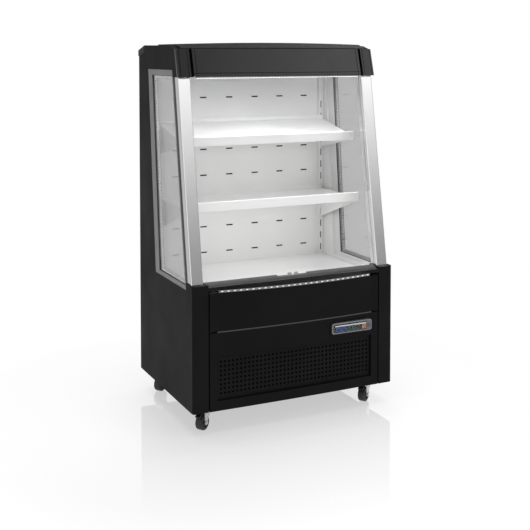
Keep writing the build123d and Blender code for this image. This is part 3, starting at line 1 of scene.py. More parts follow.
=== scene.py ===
"""Open display fridge: finishes, trim, fittings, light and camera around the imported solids.

Metres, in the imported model's frame: the floor is z = 0 and the open front faces -Y.
"""
import math

import bpy
import bmesh
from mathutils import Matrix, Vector


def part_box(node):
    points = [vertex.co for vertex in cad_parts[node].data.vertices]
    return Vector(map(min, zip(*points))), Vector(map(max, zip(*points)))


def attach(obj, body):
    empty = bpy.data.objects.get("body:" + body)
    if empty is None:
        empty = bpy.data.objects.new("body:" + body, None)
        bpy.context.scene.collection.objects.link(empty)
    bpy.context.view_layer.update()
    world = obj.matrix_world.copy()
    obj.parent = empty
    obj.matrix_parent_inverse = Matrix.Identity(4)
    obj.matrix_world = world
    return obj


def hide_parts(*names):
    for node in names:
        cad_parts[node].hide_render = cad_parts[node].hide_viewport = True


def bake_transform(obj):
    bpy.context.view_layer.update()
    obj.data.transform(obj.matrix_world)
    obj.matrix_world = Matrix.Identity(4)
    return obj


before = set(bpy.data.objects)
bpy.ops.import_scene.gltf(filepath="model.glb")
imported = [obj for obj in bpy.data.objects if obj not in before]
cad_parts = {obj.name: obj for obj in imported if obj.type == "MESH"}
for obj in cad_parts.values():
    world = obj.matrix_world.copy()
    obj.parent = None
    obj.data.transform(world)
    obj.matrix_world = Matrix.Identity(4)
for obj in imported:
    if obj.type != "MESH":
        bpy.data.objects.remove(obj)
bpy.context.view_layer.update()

MM = 0.001
ROOT = "cabinet"
CORNERS = ("fl", "fr", "rl", "rr")
MIX_A, MIX_B, MIX_RESULT = 6, 7, 2          # colour sockets of a Mix node
FLOAT_FACTOR, FLOAT_A, FLOAT_B = 0, 2, 3    # float sockets of a Mix node

COAT_ROUGH = 0.1
SAME_PLACE = 1e-7                           # corners closer than this are merged
BEVEL_ANGLE, CREASE_ANGLE = 0.6, math.radians(32)

# zones with a paint of their own, and the posts' outer sides in painted shade: (axis, low, high), X measured
# outward from the middle
LINER_SHADE = (0.78, 0.78, 0.775)
LINER_ZONES = (
    (("X", -1 * MM, 415.7 * MM), ("Y", -341 * MM, 261 * MM)),
    (("X", 415 * MM, 425.2 * MM), ("Y", -236 * MM, 250 * MM), ("Z", 560 * MM, 1450 * MM)),
)
FRAME_INSIDE = (("X", 0.0, 429.9 * MM),)
# outer sides of the posts darker: painted shade where they reflect less light
POST_SIDE_SHADE = (("X", 450.5 * MM, 460 * MM),)

# lip and its light strip
FRONT_Y = -312 * MM
FIELD_HALF = 353 * MM
LIP_BOW = 28 * MM
LIP_FOOT, LIP_TOP = 571 * MM, 595 * MM
# painted light down the lip: a painted highlight on its upper face, painted shade on the skirt below
LIP_PAINTED_LIGHT = ((0.0, 0.0045), (1.0, 0.095), (0.55, 0.0045), (0.59, 0.035))   # both ends come first
LIP_CHIPS = 27
CANOPY_CHIPS = 58

# side windows
BASE_TOP = 594 * MM
WINDOW_FOOT, WINDOW_HEAD = 567 * MM, 1434 * MM
WINDOW_REAR_Y = 124 * MM
REAR_SLOPE = math.tan(math.radians(5.6))
LEAN_SLOPE = math.tan(math.radians(9.61))
POST_FOOT_Y = -281 * MM
POST_DEPTH = 46 * MM
FRAME_REAR, FRAME_HEAD, FRAME_SILL, FRAME_FRONT = 50 * MM, 24 * MM, 18 * MM, 8 * MM
PANE_INNER, PANE_OUTER = 429.75 * MM, 451.75 * MM
GAP_LOW, GAP_HIGH = 434.2 * MM, 447.3 * MM
GASKET_THICK = 1.2 * MM
SPACER_INSET = 11.5 * MM
SEALANT_WIDE, SEALANT_THICK = 2.0 * MM, 0.4 * MM
BEAD_PITCH = 14 * MM
BEAD_PROFILE = ((3.0 * MM, -0.1 * MM), (2.8 * MM, 0.2 * MM), (0.0, 0.25 * MM))

# canopy: its grooves and the gaps beside the end caps get dark strips as painted shade; lines are (middle,
# half width) across or (foot, head) upward
CANOPY_FOOT, CANOPY_TOP = 1405 * MM, 1520 * MM
FASCIA_LEAN = 32 * MM
GROOVE_SHADE_LINES = ((376 * MM, 1.6 * MM), (409 * MM, 1.8 * MM), (445.5 * MM, 1.2 * MM))
FASCIA_SHADE_LINES = ((1419.4 * MM, 1422.4 * MM), (1514.5 * MM, 1516.8 * MM))
SHADE_PROUD, SHADE_DEEP = 0.35 * MM, 0.6 * MM
# gap beside each end cap, where a dark sheet stands in as painted shade
CAP_GAP, CAP_GAP_DEEP, CAP_GAP_THICK = (388.2 * MM, 399.8 * MM), 5 * MM, 3 * MM

# controller
BOARD_THICK = 1.6 * MM
BUTTON_ROOM = 9.5 * MM                      # from the button's middle to the cover
BUTTON_HOLE = 5.3 * MM
KEY_COLUMNS, KEY_START_X, KEY_PITCH_X = 4, 0.42, 0.085      # parts of the cover's width
KEY_ROWS, KEY_START_Z, KEY_PITCH_Z = 2, 0.28, 0.30          # parts of the cover's height
KEY_HALF_X, KEY_HALF_Z, KEY_PROUD = 5 * MM, 3 * MM, 0.9 * MM

# shelf uprights, grille, night blind
UPRIGHT_X, UPRIGHT_INSIDE = 402 * MM, 9.7 * MM
# dark sheet inside each upright behind its hook slots, as painted shade
UPRIGHT_SHADE_Y, UPRIGHT_SHADE_THICK = 234.9 * MM, 0.8 * MM
FILTER_PLEATS, FILTER_DEPTH, FILTER_THICK = 60, 3 * MM, 0.6 * MM
CLOTH_THICK = 0.5 * MM
ROLL_INSIDE, ROLL_TURNS, ROLL_STEPS = 17.2 * MM, 6.5, 260
APRON_STEPS = 40

# casters
CASTER_X = 375 * MM
CASTER_FRONT_Y, CASTER_REAR_Y = -233 * MM, 267 * MM
CASTER_HEADING = math.radians(216)
PLATE_FOOT = 86 * MM
PLATE_BOLT = 26 * MM                        # from the plate's middle, both ways
AXLE_REACH, HUB_REACH = 19.2 * MM, 15 * MM
HUB_RING = (
    (19 * MM, -0.4 * MM), (24 * MM, -0.4 * MM), (24 * MM, 0.5 * MM), (22.5 * MM, 0.9 * MM),
    (20.5 * MM, 0.9 * MM), (19 * MM, 0.5 * MM), (19 * MM, -0.4 * MM),
)

# studio that gloss sees: (from, to, level at from, level at to), by direction
STUDIO_CLIMB = (0.06, 0.34, 0.0, 1.0)
STUDIO_BEND = 1.4
STUDIO_RISE = (0.0, 1.0, 0.18, 1.48)
STUDIO_BEHIND = (-0.1, 0.5, 1.0, 0.66)
STUDIO_RIGHT = (0.33, 0.52, 1.0, 1.22)
STUDIO_BESIDE = (-0.30, -0.05, 1.0, 0.0)
OVERHEAD_START = (0.36, 0.46, 0.0, 1.0)
OVERHEAD_RIGHT = (0.37, 0.50, 0.02, 1.42)
WORLD_LEVEL = 0.6                           # light from the world on matt surfaces

# floor: (from, to, share at from, share at to), by distance from the cabinet's foot
FLOOR_HALF = 14.0
FLOOR_SHADE = (0.85, 0.85, 0.85, 1.0)
FOOT_HALF = (0.45, 0.33, 0.0)
FLOOR_WHITE = (0.0, 0.75, 0.70, 1.0)
FLOOR_MIRROR = (0.0, 0.80, 0.24, 0.0)

# camera, fitted to the photograph
CAMERA_PLACE = (-1.8138, -3.7999, 1.5026)
CAMERA_TILT, CAMERA_TURN = math.radians(87.173), math.radians(-25.551)
CAMERA_LENS, CAMERA_SENSOR, CAMERA_SHIFT = 66.09, 36.0, -0.3094

# lamps: name, place, aim, size, watts, spread in degrees
MIDDLE = (0.0, 0.0, 0.8)
CANOPY_LAMP = ((0.0, -0.135, 1.398), (0.0, 0.06, 0.9), (0.74, 0.02))
LAMPS = (
    ("key", (-2.2, -3.6, 3.0), MIDDLE, (2.4, 2.4), 7.0, 180.0),
    ("fill", (2.6, -3.4, 2.6), MIDDLE, (2.4, 2.4), 38.0, 180.0),
    ("top", (0.0, 0.2, 4.2), (0.0, 0.0, 0.0), (3.5, 3.5), 150.0, 180.0),
    ("rear", (0.6, 3.6, 3.0), MIDDLE, (2.6, 2.2), 60.0, 180.0),
    ("inside", (0.0, -2.6, 0.95), (0.0, 0.2, 0.85), (1.6, 0.9), 3.5, 180.0),
    ("canopy_light", *CANOPY_LAMP, 0.9, 118.0),
    ("canopy_haze", *CANOPY_LAMP, 1.7, 180.0),
    ("shelf_bounce", (0.0, 0.04, 1.12), (0.0, 0.04, 0.0), (0.70, 0.20), 0.30, 180.0),
    ("deck_bounce", (0.0, 0.04, 0.84), (0.0, 0.04, 0.0), (0.70, 0.24), 0.55, 180.0),
)


# ---------------------------------------------------------------- node helpers
def calculate(nodes, links, operation, a, b):
    """Result of one Math node: a is a socket, b a socket or a number."""
    node = nodes.new("ShaderNodeMath")
    node.operation = operation
    links.new(a, node.inputs[0])
    if isinstance(b, float):
        node.inputs[1].default_value = b
    else:
        links.new(b, node.inputs[1])
    return node.outputs[0]


def ramp(nodes, links, value, span, kind="LINEAR"):
    """Value carried over a span: (from, to, level at from, level at to)."""
    node = nodes.new("ShaderNodeMapRange")
    node.interpolation_type = kind
    for key, number in zip(("From Min", "From Max", "To Min", "To Max"), span):
        node.inputs[key].default_value = number
    links.new(value, node.inputs["Value"])
    return node.outputs["Result"]


def between(nodes, links, factor, low, high):
    """Number between low and high by a factor; each is a socket or a number."""
    node = nodes.new("ShaderNodeMix")
    node.data_type = "FLOAT"
    links.new(factor, node.inputs[FLOAT_FACTOR])
    for socket, value in ((FLOAT_A, low), (FLOAT_B, high)):
        if isinstance(value, float):
            node.inputs[socket].default_value = value
        else:
            links.new(value, node.inputs[socket])
    return node.outputs[0]


def mix_shaders(nodes, links, factor, first, second):
    node = nodes.new("ShaderNodeMixShader")
    for index, socket in enumerate((factor, first, second)):
        links.new(socket, node.inputs[index])
    return node.outputs[0]


def seen_directly(nodes, links, *rays):
    """1 for the named kinds of ray, else 0."""
    path = nodes.new("ShaderNodeLightPath")
    seen = path.outputs[rays[0]]
    for ray in rays[1:]:
        seen = calculate(nodes, links, "MAXIMUM", seen, path.outputs[ray])
    return seen


class Finish:
    """A procedural material that starts from one Principled shader; all are kept in Finish.made."""

    made = {}

    def __init__(self, name, colour, rough, metal=0.0, specular=0.5, coat=0.0):
        self.mat = bpy.data.materials.new(name)
        self.mat.use_nodes = True
        self.nodes = self.mat.node_tree.nodes
        self.links = self.mat.node_tree.links
        self.shader = self.nodes["Principled BSDF"]
        self.shader.inputs["Base Color"].default_value = (*colour, 1.0)
        self.shader.inputs["Roughness"].default_value = rough
        self.shader.inputs["Metallic"].default_value = metal
        self.shader.inputs["Specular IOR Level"].default_value = specular
        self.shader.inputs["Coat Weight"].default_value = coat
        self.shader.inputs["Coat Roughness"].default_value = COAT_ROUGH
        self.colour = colour
        self.rough = rough
        Finish.made[name] = self

    def add(self, kind, **values):
        node = self.nodes.new(kind)
        for key, value in values.items():
            setattr(node, key, value)
        return node

    def place(self, stretch=(1.0, 1.0, 1.0)):
        """Object coordinates, stretched."""
        coords = self.add("ShaderNodeTexCoord")
        mapping = self.add("ShaderNodeMapping")
        mapping.inputs["Scale"].default_value = stretch
        self.links.new(coords.outputs["Object"], mapping.inputs["Vector"])
        return mapping.outputs["Vector"]

    def noise(self, scale, detail, stretch=(1.0, 1.0, 1.0)):
        """Noise over object coordinates; most of it lies between 0.3 and 0.7."""
        node = self.add("ShaderNodeTexNoise")
        node.inputs["Scale"].default_value = scale
        node.inputs["Detail"].default_value = detail
        self.links.new(self.place(stretch), node.inputs["Vector"])
        return node.outputs["Fac"]

    def spread(self, value, low, high, from_low=0.3, from_high=0.7):
        """Value carried to low and high, by default from where most of a noise lies."""
        return ramp(self.nodes, self.links, value, (from_low, from_high, low, high))

    def tint(self, factor, low, high):
        """Base colour between two shades by a factor."""
        mix = self.add("ShaderNodeMix", data_type="RGBA")
        mix.inputs[MIX_A].default_value = (*low, 1.0)
        mix.inputs[MIX_B].default_value = (*high, 1.0)
        self.links.new(factor, mix.inputs["Factor"])
        self.links.new(mix.outputs[MIX_RESULT], self.shader.inputs["Base Color"])

    def vary(self, scale, amount, detail=3.0, stretch=(1.0, 1.0, 1.0)):
        """Colour a little lighter and darker in patches."""
        low = [c * (1.0 - amount) for c in self.colour]
        high = [min(1.0, c * (1.0 + amount)) for c in self.colour]
        factor = self.spread(self.noise(scale, detail, stretch), 0.0, 1.0)
        self.tint(factor, low, high)
        return self

    def height(self, low, high):
        """0 at one height of the object and 1 at another."""
        split = self.add("ShaderNodeSeparateXYZ")
        self.links.new(self.place(), split.inputs[0])
        return self.spread(split.outputs["Z"], 0.0, 1.0, low, high)

    def paint_light_by_height(self, low, high, shades):
        """Painted light and shade by height: grey shades (part of the height, shade) with patches of grain
        over them.
        """
        stops = self.add("ShaderNodeValToRGB")
        marks = stops.color_ramp.elements
        for index, (part, shade) in enumerate(shades):
            mark = marks[index] if index < 2 else marks.new(part)
            mark.position = part
            mark.color = (shade, shade, shade, 1.0)
        self.links.new(self.height(low, high), stops.inputs["Fac"])
        patches = self.spread(self.noise(160.0, 3.0), 0.75, 1.2)
        mix = self.add("ShaderNodeVectorMath", operation="SCALE")
        self.links.new(stops.outputs["Color"], mix.inputs[0])
        self.links.new(patches, mix.inputs["Scale"])
        self.links.new(mix.outputs["Vector"], self.shader.inputs["Base Color"])
        return self

    def uneven(self, scale, amount, stretch=(1.0, 1.0, 1.0)):
        """Roughness that varies in patches."""
        low, high = max(0.02, self.rough - amount), min(1.0, self.rough + amount)
        value = self.spread(self.noise(scale, 5.0, stretch), low, high)
        self.links.new(value, self.shader.inputs["Roughness"])
        return self

    def glow(self, colour, strength):
        self.shader.inputs["Emission Color"].default_value = (*colour, 1.0)
        self.shader.inputs["Emission Strength"].default_value = strength
        return self

    def grain(self, scale, strength, distance, stretch=(1.0, 1.0, 1.0)):
        """Fine relief of the surface."""
        node = self.add("ShaderNodeBump")
        node.inputs["Strength"].default_value = strength
        node.inputs["Distance"].default_value = distance
        self.links.new(self.noise(scale, 2.0, stretch), node.inputs["Height"])
        self.links.new(node.outputs["Normal"], self.shader.inputs["Normal"])
        return self


def grey(value):
    return (value, value, value)


def repaint(finish, zone, shade):
    """Another shade inside a zone: (axis, low, high) each, X measured outward from the middle."""
    split = finish.add("ShaderNodeSeparateXYZ")
    finish.links.new(finish.place(), split.inputs[0])
    outward = finish.add("ShaderNodeMath", operation="ABSOLUTE")
    finish.links.new(split.outputs["X"], outward.inputs[0])
    inside = None
    for axis, low, high in zone:
        test = finish.add("ShaderNodeMath", operation="COMPARE")
        finish.links.new(outward.outputs[0] if axis == "X" else split.outputs[axis], test.inputs[0])
        test.inputs[1].default_value = (low + high) / 2
        test.inputs[2].default_value = (high - low) / 2
        within = test.outputs[0]
        inside = calculate(finish.nodes, finish.links, "MULTIPLY", inside, within) if inside else within
    mix = finish.add("ShaderNodeMix", data_type="RGBA")
    mix.inputs[MIX_B].default_value = (*shade, 1.0)
    finish.links.new(inside, mix.inputs["Factor"])
    painted = finish.shader.inputs["Base Color"].links[0].from_socket
    finish.links.new(painted, mix.inputs[MIX_A])
    finish.links.new(mix.outputs[MIX_RESULT], finish.shader.inputs["Base Color"])


# ---------------------------------------------------------------- finishes
def black_finishes():
    """Painted and moulded blacks of the cabinet."""
    for name in ("insulated_panel", "rear_panel"):
        panel = Finish(name, grey(0.0095), 0.5, specular=0.027)
        panel.vary(3.0, 0.12).uneven(6.0, 0.06).grain(1400.0, 0.16, 0.0002)
    for zone in LINER_ZONES:
        repaint(Finish.made["insulated_panel"], zone, LINER_SHADE)

    front = Finish("gloss_black", grey(0.0050), 0.22, specular=0.06)
    front.vary(4.0, 0.15).uneven(9.0, 0.03).grain(260.0, 0.03, 0.0003)

    for name, gloss in (("fascia_gloss", 0.5), ("cap_gloss", 0.42)):
        fascia = Finish(name, grey(0.006), 0.26, specular=gloss)
        fascia.vary(4.0, 0.15).uneven(9.0, 0.03).grain(260.0, 0.03, 0.0003)

    satin = Finish("satin_black", grey(0.0065), 0.45, specular=0.06)
    satin.vary(8.0, 0.15).uneven(30.0, 0.06).grain(1800.0, 0.12, 0.0002)

    moulded = Finish("black_plastic", grey(0.009), 0.5, specular=0.12)
    moulded.vary(10.0, 0.1).uneven(40.0, 0.06).grain(2200.0, 0.16, 0.00015)

    # the lip is painted lighter on its upper face and darker on its skirt: painted highlight and painted
    # shade
    lip = Finish("lip_grey", grey(0.008), 0.34, specular=0.12)
    lip.paint_light_by_height(LIP_FOOT, LIP_TOP, LIP_PAINTED_LIGHT)
    lip.uneven(50.0, 0.05).grain(700.0, 0.25, 0.0002, stretch=(0.5, 1.0, 1.0))

    gland = Finish("gland_black", grey(0.015), 0.5)
    gland.vary(30.0, 0.15).grain(2500.0, 0.15, 0.0001)

    pot = Finish("compressor_black", grey(0.010), 0.35, specular=0.4)
    pot.vary(10.0, 0.2).grain(300.0, 0.12, 0.0005)

    fan = Finish("fan_black", grey(0.014), 0.5, specular=0.3)
    fan.vary(30.0, 0.12).grain(1800.0, 0.1, 0.0001)

    wheel = Finish("wheel_black", grey(0.016), 0.55, specular=0.4)
    wheel.vary(50.0, 0.25).uneven(80.0, 0.1).grain(1200.0, 0.15, 0.0002)

    pedal = Finish("pedal_black", grey(0.007), 0.45, specular=0.3)
    pedal.vary(60.0, 0.15).grain(2000.0, 0.12, 0.0001)

    rubber = Finish("rubber", grey(0.018), 0.7, specular=0.2)
    rubber.vary(80.0, 0.2).grain(1500.0, 0.15, 0.0001)

    # flat black without gloss: painted shade in the canopy's grooves and gaps
    groove_shade = Finish("groove_shade", grey(0.0015), 0.9, specular=0.0)
    groove_shade.vary(80.0, 0.2).grain(1500.0, 0.1, 0.0001)

    mat = Finish("filter_mat", grey(0.0045), 0.95, specular=0.02)
    mat.vary(400.0, 0.3).grain(2600.0, 0.3, 0.0002)


def white_finishes():
    """Coated sheet of the interior, and its core."""
    sheet = Finish("white_metal", (0.80, 0.80, 0.797), 0.36, specular=0.45)
    sheet.vary(5.0, 0.02).uneven(14.0, 0.05).grain(900.0, 0.06, 0.0002)

    core = Finish("white_core", (0.78, 0.78, 0.77), 0.5, specular=0.4)
    core.vary(6.0, 0.03).grain(1200.0, 0.08, 0.0002)


def metal_finishes():
    """Anodised posts with fine lines along their length, painted frames, plated steel, fins, bezel; chassis
    and second fins dark as painted shade behind the grille.
    """
    post = Finish("post_aluminium", (0.86, 0.86, 0.86), 0.18, metal=1.0)
    post.vary(40.0, 0.04, stretch=(30.0, 30.0, 0.15))
    post.uneven(60.0, 0.04, stretch=(25.0, 25.0, 0.1))
    post.grain(160.0, 0.08, 0.0001, stretch=(12.0, 12.0, 0.06))
    # painted shade on the post's outer side
    repaint(post, POST_SIDE_SHADE, grey(0.42))

    frame_paint = Finish("frame_grey", (0.142, 0.142, 0.143), 0.42, specular=0.3)
    frame_paint.vary(9.0, 0.06).uneven(20.0, 0.05).grain(1500.0, 0.1, 0.0001)
    repaint(frame_paint, FRAME_INSIDE, grey(0.70))

    trim = Finish("trim_silver", (0.045, 0.045, 0.046), 0.3, metal=0.5)
    trim.vary(30.0, 0.1, stretch=(0.1, 20.0, 20.0))

    zinc = Finish("zinc", (0.52, 0.53, 0.54), 0.34, metal=0.9)
    zinc.vary(90.0, 0.12).uneven(120.0, 0.1).grain(700.0, 0.08, 0.0002)

    spacer = Finish("spacer", (0.62, 0.62, 0.62), 0.32, metal=0.35)
    spacer.vary(220.0, 0.3, detail=1.0)

    # chassis and condenser fins dark: painted shade of the machine room seen through the grille
    chassis = Finish("chassis", grey(0.012), 0.5, specular=0.15)
    chassis.vary(20.0, 0.15).grain(900.0, 0.1, 0.0002)

    fins = Finish("fin_aluminium", (0.62, 0.63, 0.64), 0.35, metal=1.0)
    fins.vary(60.0, 0.15, stretch=(8.0, 1.0, 1.0))

    fin_shade = Finish("fins_in_painted_shade", grey(0.012), 0.5, specular=0.2)
    fin_shade.vary(60.0, 0.2, stretch=(8.0, 1.0, 1.0))

    bezel = Finish("silver_plastic", (0.165, 0.17, 0.18), 0.25, metal=0.7)
    bezel.vary(30.0, 0.05).uneven(60.0, 0.05)


def small_finishes():
    """Cloth, light chips and the parts of the controller."""
    button = Finish("button_blue", (0.010, 0.030, 0.085), 0.3, coat=0.4)
    button.vary(60.0, 0.1)

    cloth = Finish("blind_cloth", (0.50, 0.52, 0.54), 0.75, specular=0.3)
    cloth.vary(400.0, 0.12).grain(1800.0, 0.3, 0.0002)

    strip = Finish("led", (0.19, 0.19, 0.20), 0.3)
    strip.vary(60.0, 0.1)

    chip = Finish("led_chip", (0.9, 0.92, 0.95), 0.3)
    chip.vary(60.0, 0.02).glow((1.0, 1.0, 1.0), 1.2)

    dim_chip = Finish("led_chip_dim", (0.55, 0.56, 0.58), 0.3)
    dim_chip.vary(60.0, 0.02).glow((1.0, 1.0, 1.0), 0.5)

    board = Finish("display", (0.010, 0.012, 0.016), 0.25)
    board.vary(60.0, 0.2)

    collar = Finish("collar", (0.10, 0.105, 0.11), 0.3, specular=0.4)
    collar.vary(90.0, 0.1).grain(1500.0, 0.1, 0.0001)

    screen = Finish("screen_blue", (0.008, 0.026, 0.095), 0.2)
    screen.vary(90.0, 0.35).glow((0.02, 0.08, 0.34), 0.05)

    # pale strip on the controller's cover: a painted highlight
    ledge = Finish("ledge", (0.50, 0.52, 0.56), 0.25)
    ledge.vary(90.0, 0.08)

    keys = Finish("key_green", (0.020, 0.060, 0.045), 0.35)
    keys.vary(120.0, 0.2)

    rocker = Finish("rocker_amber", (0.27, 0.145, 0.07), 0.35)
    rocker.vary(120.0, 0.12).glow((0.6, 0.33, 0.16), 0.02)


def make_finishes():
    black_finishes()
    white_finishes()
    metal_finishes()
    small_finishes()
    return {name: finish.mat for name, finish in Finish.made.items()}


def clear_material(name, tint, film, ior):
    """Clear glass or plastic that lets lamp light through."""
    mat = bpy.data.materials.new(name)
    mat.use_nodes = True
    nodes, links = mat.node_tree.nodes, mat.node_tree.links
    shader = nodes["Principled BSDF"]
    shader.inputs["Base Color"].default_value = (*tint, 1.0)
    shader.inputs["Roughness"].default_value = 0.0
    shader.inputs["IOR"].default_value = ior
    shader.inputs["Transmission Weight"].default_value = 1.0
    clear = nodes.new("ShaderNodeBsdfTransparent")
    clear.inputs["Color"].default_value = (*film, 1.0)
    light = seen_directly(nodes, links, "Is Shadow Ray", "Is Diffuse Ray")
    mix = mix_shaders(nodes, links, light, shader.outputs["BSDF"], clear.outputs["BSDF"])
    links.new(mix, nodes["Material Output"].inputs["Surface"])
    return mat


# ---------------------------------------------------------------- piece helpers
def link_mesh(name, bm, finish):
    """Object from a bmesh, in the scene, with one finish."""
    mesh = bpy.data.meshes.new(name)
    bm.to_mesh(mesh)
    bm.free()
    obj = bpy.data.objects.new(name, mesh)
    bpy.context.scene.collection.objects.link(obj)
    mesh.materials.append(materials[finish])
    return obj


def piece(name, bm, finish, body, bevel=0.0):
    """A finished mesh object that rides on a body and takes one of the script's finishes by name."""
    bmesh.ops.remove_doubles(bm, verts=bm.verts, dist=SAME_PLACE)
    bmesh.ops.recalc_face_normals(bm, faces=bm.faces)
    if bevel:
        sharp = [e for e in bm.edges if len(e.link_faces) == 2 and e.calc_face_angle() > BEVEL_ANGLE]
        bmesh.ops.bevel(bm, geom=sharp, offset=bevel, segments=2, affect="EDGES", profile=0.6)
    for face in bm.faces:
        face.smooth = True
    for edge in bm.edges:
        if len(edge.link_faces) == 2 and edge.calc_face_angle() > CREASE_ANGLE:
            edge.smooth = False
    obj = link_mesh(name, bm, finish)
    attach(obj, body)
    return obj


def spaced(low, high, count):
    """Evenly spaced numbers from low to high, both ends included."""
    return [low + (high - low) * i / (count - 1) for i in range(count)]


def add_box(bm, low, high):
    corners = [
        bm.verts.new((x, y, z))
        for x in (low[0], high[0]) for y in (low[1], high[1]) for z in (low[2], high[2])
    ]
    for loop in ((0, 1, 3, 2), (4, 6, 7, 5), (0, 4, 5, 1), (2, 3, 7, 6), (0, 2, 6, 4), (1, 5, 7, 3)):
        bm.faces.new([corners[i] for i in loop])


def add_prism(bm, outline, place, low, high):
    """Prism of a closed outline; place(u, v, w) gives a point, w runs from low to high."""
    ends = [[bm.verts.new(place(u, v, w)) for u, v in outline] for w in (low, high)]
    bm.faces.new(ends[0])
    bm.faces.new(reversed(ends[1]))
    count = len(outline)
    for i in range(count):
        j = (i + 1) % count
        bm.faces.new((ends[0][i], ends[0][j], ends[1][j], ends[1][i]))


def add_ring(bm, outer, inner, place, low, high):
    """Ring of even depth between two outlines with the same number of corners."""
    count = len(outer)
    rows = [[bm.verts.new(place(u, v, w)) for u, v in line]
            for line in (outer, inner) for w in (low, high)]
    for i in range(count):
        j = (i + 1) % count
        for a, b in ((0, 1), (1, 3), (3, 2), (2, 0)):
            bm.faces.new((rows[a][i], rows[a][j], rows[b][j], rows[b][i]))


def add_lathe(bm, profile, centre, axis, steps):
    """Turned solid with the given number of sides: profile points are (radius, height on the axis)."""
    axis = Vector(axis).normalized()
    across = axis.orthogonal().normalized()
    beside = axis.cross(across)
    rows = []
    for radius, height in profile:
        middle = Vector(centre) + axis * height
        if radius < 1e-9:
            rows.append([bm.verts.new(middle)])
            continue
        rows.append([
            bm.verts.new(middle + (across * math.cos(t) + beside * math.sin(t)) * radius)
            for t in (2 * math.pi * i / steps for i in range(steps))
        ])
    for low, high in zip(rows, rows[1:]):
        for i in range(steps):
            j = (i + 1) % steps
            ring = [low[i % len(low)], low[j % len(low)], high[j % len(high)], high[i % len(high)]]
            face = list(dict.fromkeys(ring))
            if len(face) > 2:
                bm.faces.new(face)


def add_screw(bm, centre, axis, radius):
    """Pan head with a hollow socket."""
    add_lathe(bm, [
        (0.0, -0.4 * radius), (radius, -0.4 * radius), (radius, 0.15 * radius),
        (0.82 * radius, 0.5 * radius), (0.4 * radius, 0.6 * radius),
        (0.36 * radius, 0.2 * radius), (0.0, 0.2 * radius),
    ], centre, axis, 16)


def add_nut(bm, centre, axis, across, height):
    """Hexagon with a chamfered crown."""
    profile = [(0.0, 0.0), (across, 0.0), (across, 0.8 * height), (0.86 * across, height), (0.0, height)]
    add_lathe(bm, profile, centre, axis, 6)


# ---------------------------------------------------------------- stage
def make_lamp(name, place, aim, size, power, spread):
    data = bpy.data.lights.new(name, "AREA")
    data.shape = "RECTANGLE"
    data.size, data.size_y = size
    data.energy = power
    data.spread = math.radians(spread)
    obj = bpy.data.objects.new(name, data)
    bpy.context.scene.collection.objects.link(obj)
    obj.location = place
    obj.visible_glossy = False
    obj.rotation_euler = (Vector(aim) - Vector(place)).to_track_quat("-Z", "Y").to_euler()


def make_world():
    """White behind the object; gloss sees a studio, bright overhead and dim at the horizon and behind."""
    world = bpy.data.worlds.new("studio")
    bpy.context.scene.world = world
    world.use_nodes = True
    nodes, links = world.node_tree.nodes, world.node_tree.links
    coords = nodes.new("ShaderNodeTexCoord")
    split = nodes.new("ShaderNodeSeparateXYZ")
    links.new(coords.outputs["Generated"], split.inputs[0])
    x, y, z = split.outputs["X"], split.outputs["Y"], split.outputs["Z"]

    bend = calculate(nodes, links, "POWER", ramp(nodes, links, z, STUDIO_CLIMB), STUDIO_BEND)
    rise = ramp(nodes, links, bend, STUDIO_RISE)
    behind = ramp(nodes, links, y, STUDIO_BEHIND, "SMOOTHSTEP")
    overhead = between(
        nodes, links, ramp(nodes, links, z, OVERHEAD_START, "SMOOTHSTEP"),
        ramp(nodes, links, x, STUDIO_RIGHT), ramp(nodes, links, x, OVERHEAD_RIGHT))
    studio = calculate(nodes, links, "MULTIPLY", calculate(nodes, links, "MULTIPLY", rise, behind), overhead)
    beside = ramp(nodes, links, x, STUDIO_BESIDE, "SMOOTHSTEP")
    studio = calculate(nodes, links, "MAXIMUM", studio, beside)

    glossy = between(nodes, links, seen_directly(nodes, links, "Is Glossy Ray"), WORLD_LEVEL, studio)
    direct = seen_directly(nodes, links, "Is Camera Ray", "Is Transmission Ray")
    back = nodes["Background"]
    links.new(between(nodes, links, direct, glossy, 1.0), back.inputs["Strength"])
    back.inputs["Color"].default_value = (1.0, 1.0, 1.0, 1.0)


def distance_from_foot(nodes, links):
    """Distance of a floor point from the rectangle under the cabinet."""
    vector = nodes.new("ShaderNodeTexCoord").outputs["Object"]
    steps = (("ABSOLUTE", None), ("SUBTRACT", FOOT_HALF), ("MAXIMUM", (0.0, 0.0, 0.0)), ("LENGTH", None))
    for operation, value in steps:
        node = nodes.new("ShaderNodeVectorMath")
        node.operation = operation
        if value:
            node.inputs[1].default_value = value
        links.new(vector, node.inputs[0])
        vector = node.outputs["Value" if operation == "LENGTH" else "Vector"]
    return vector


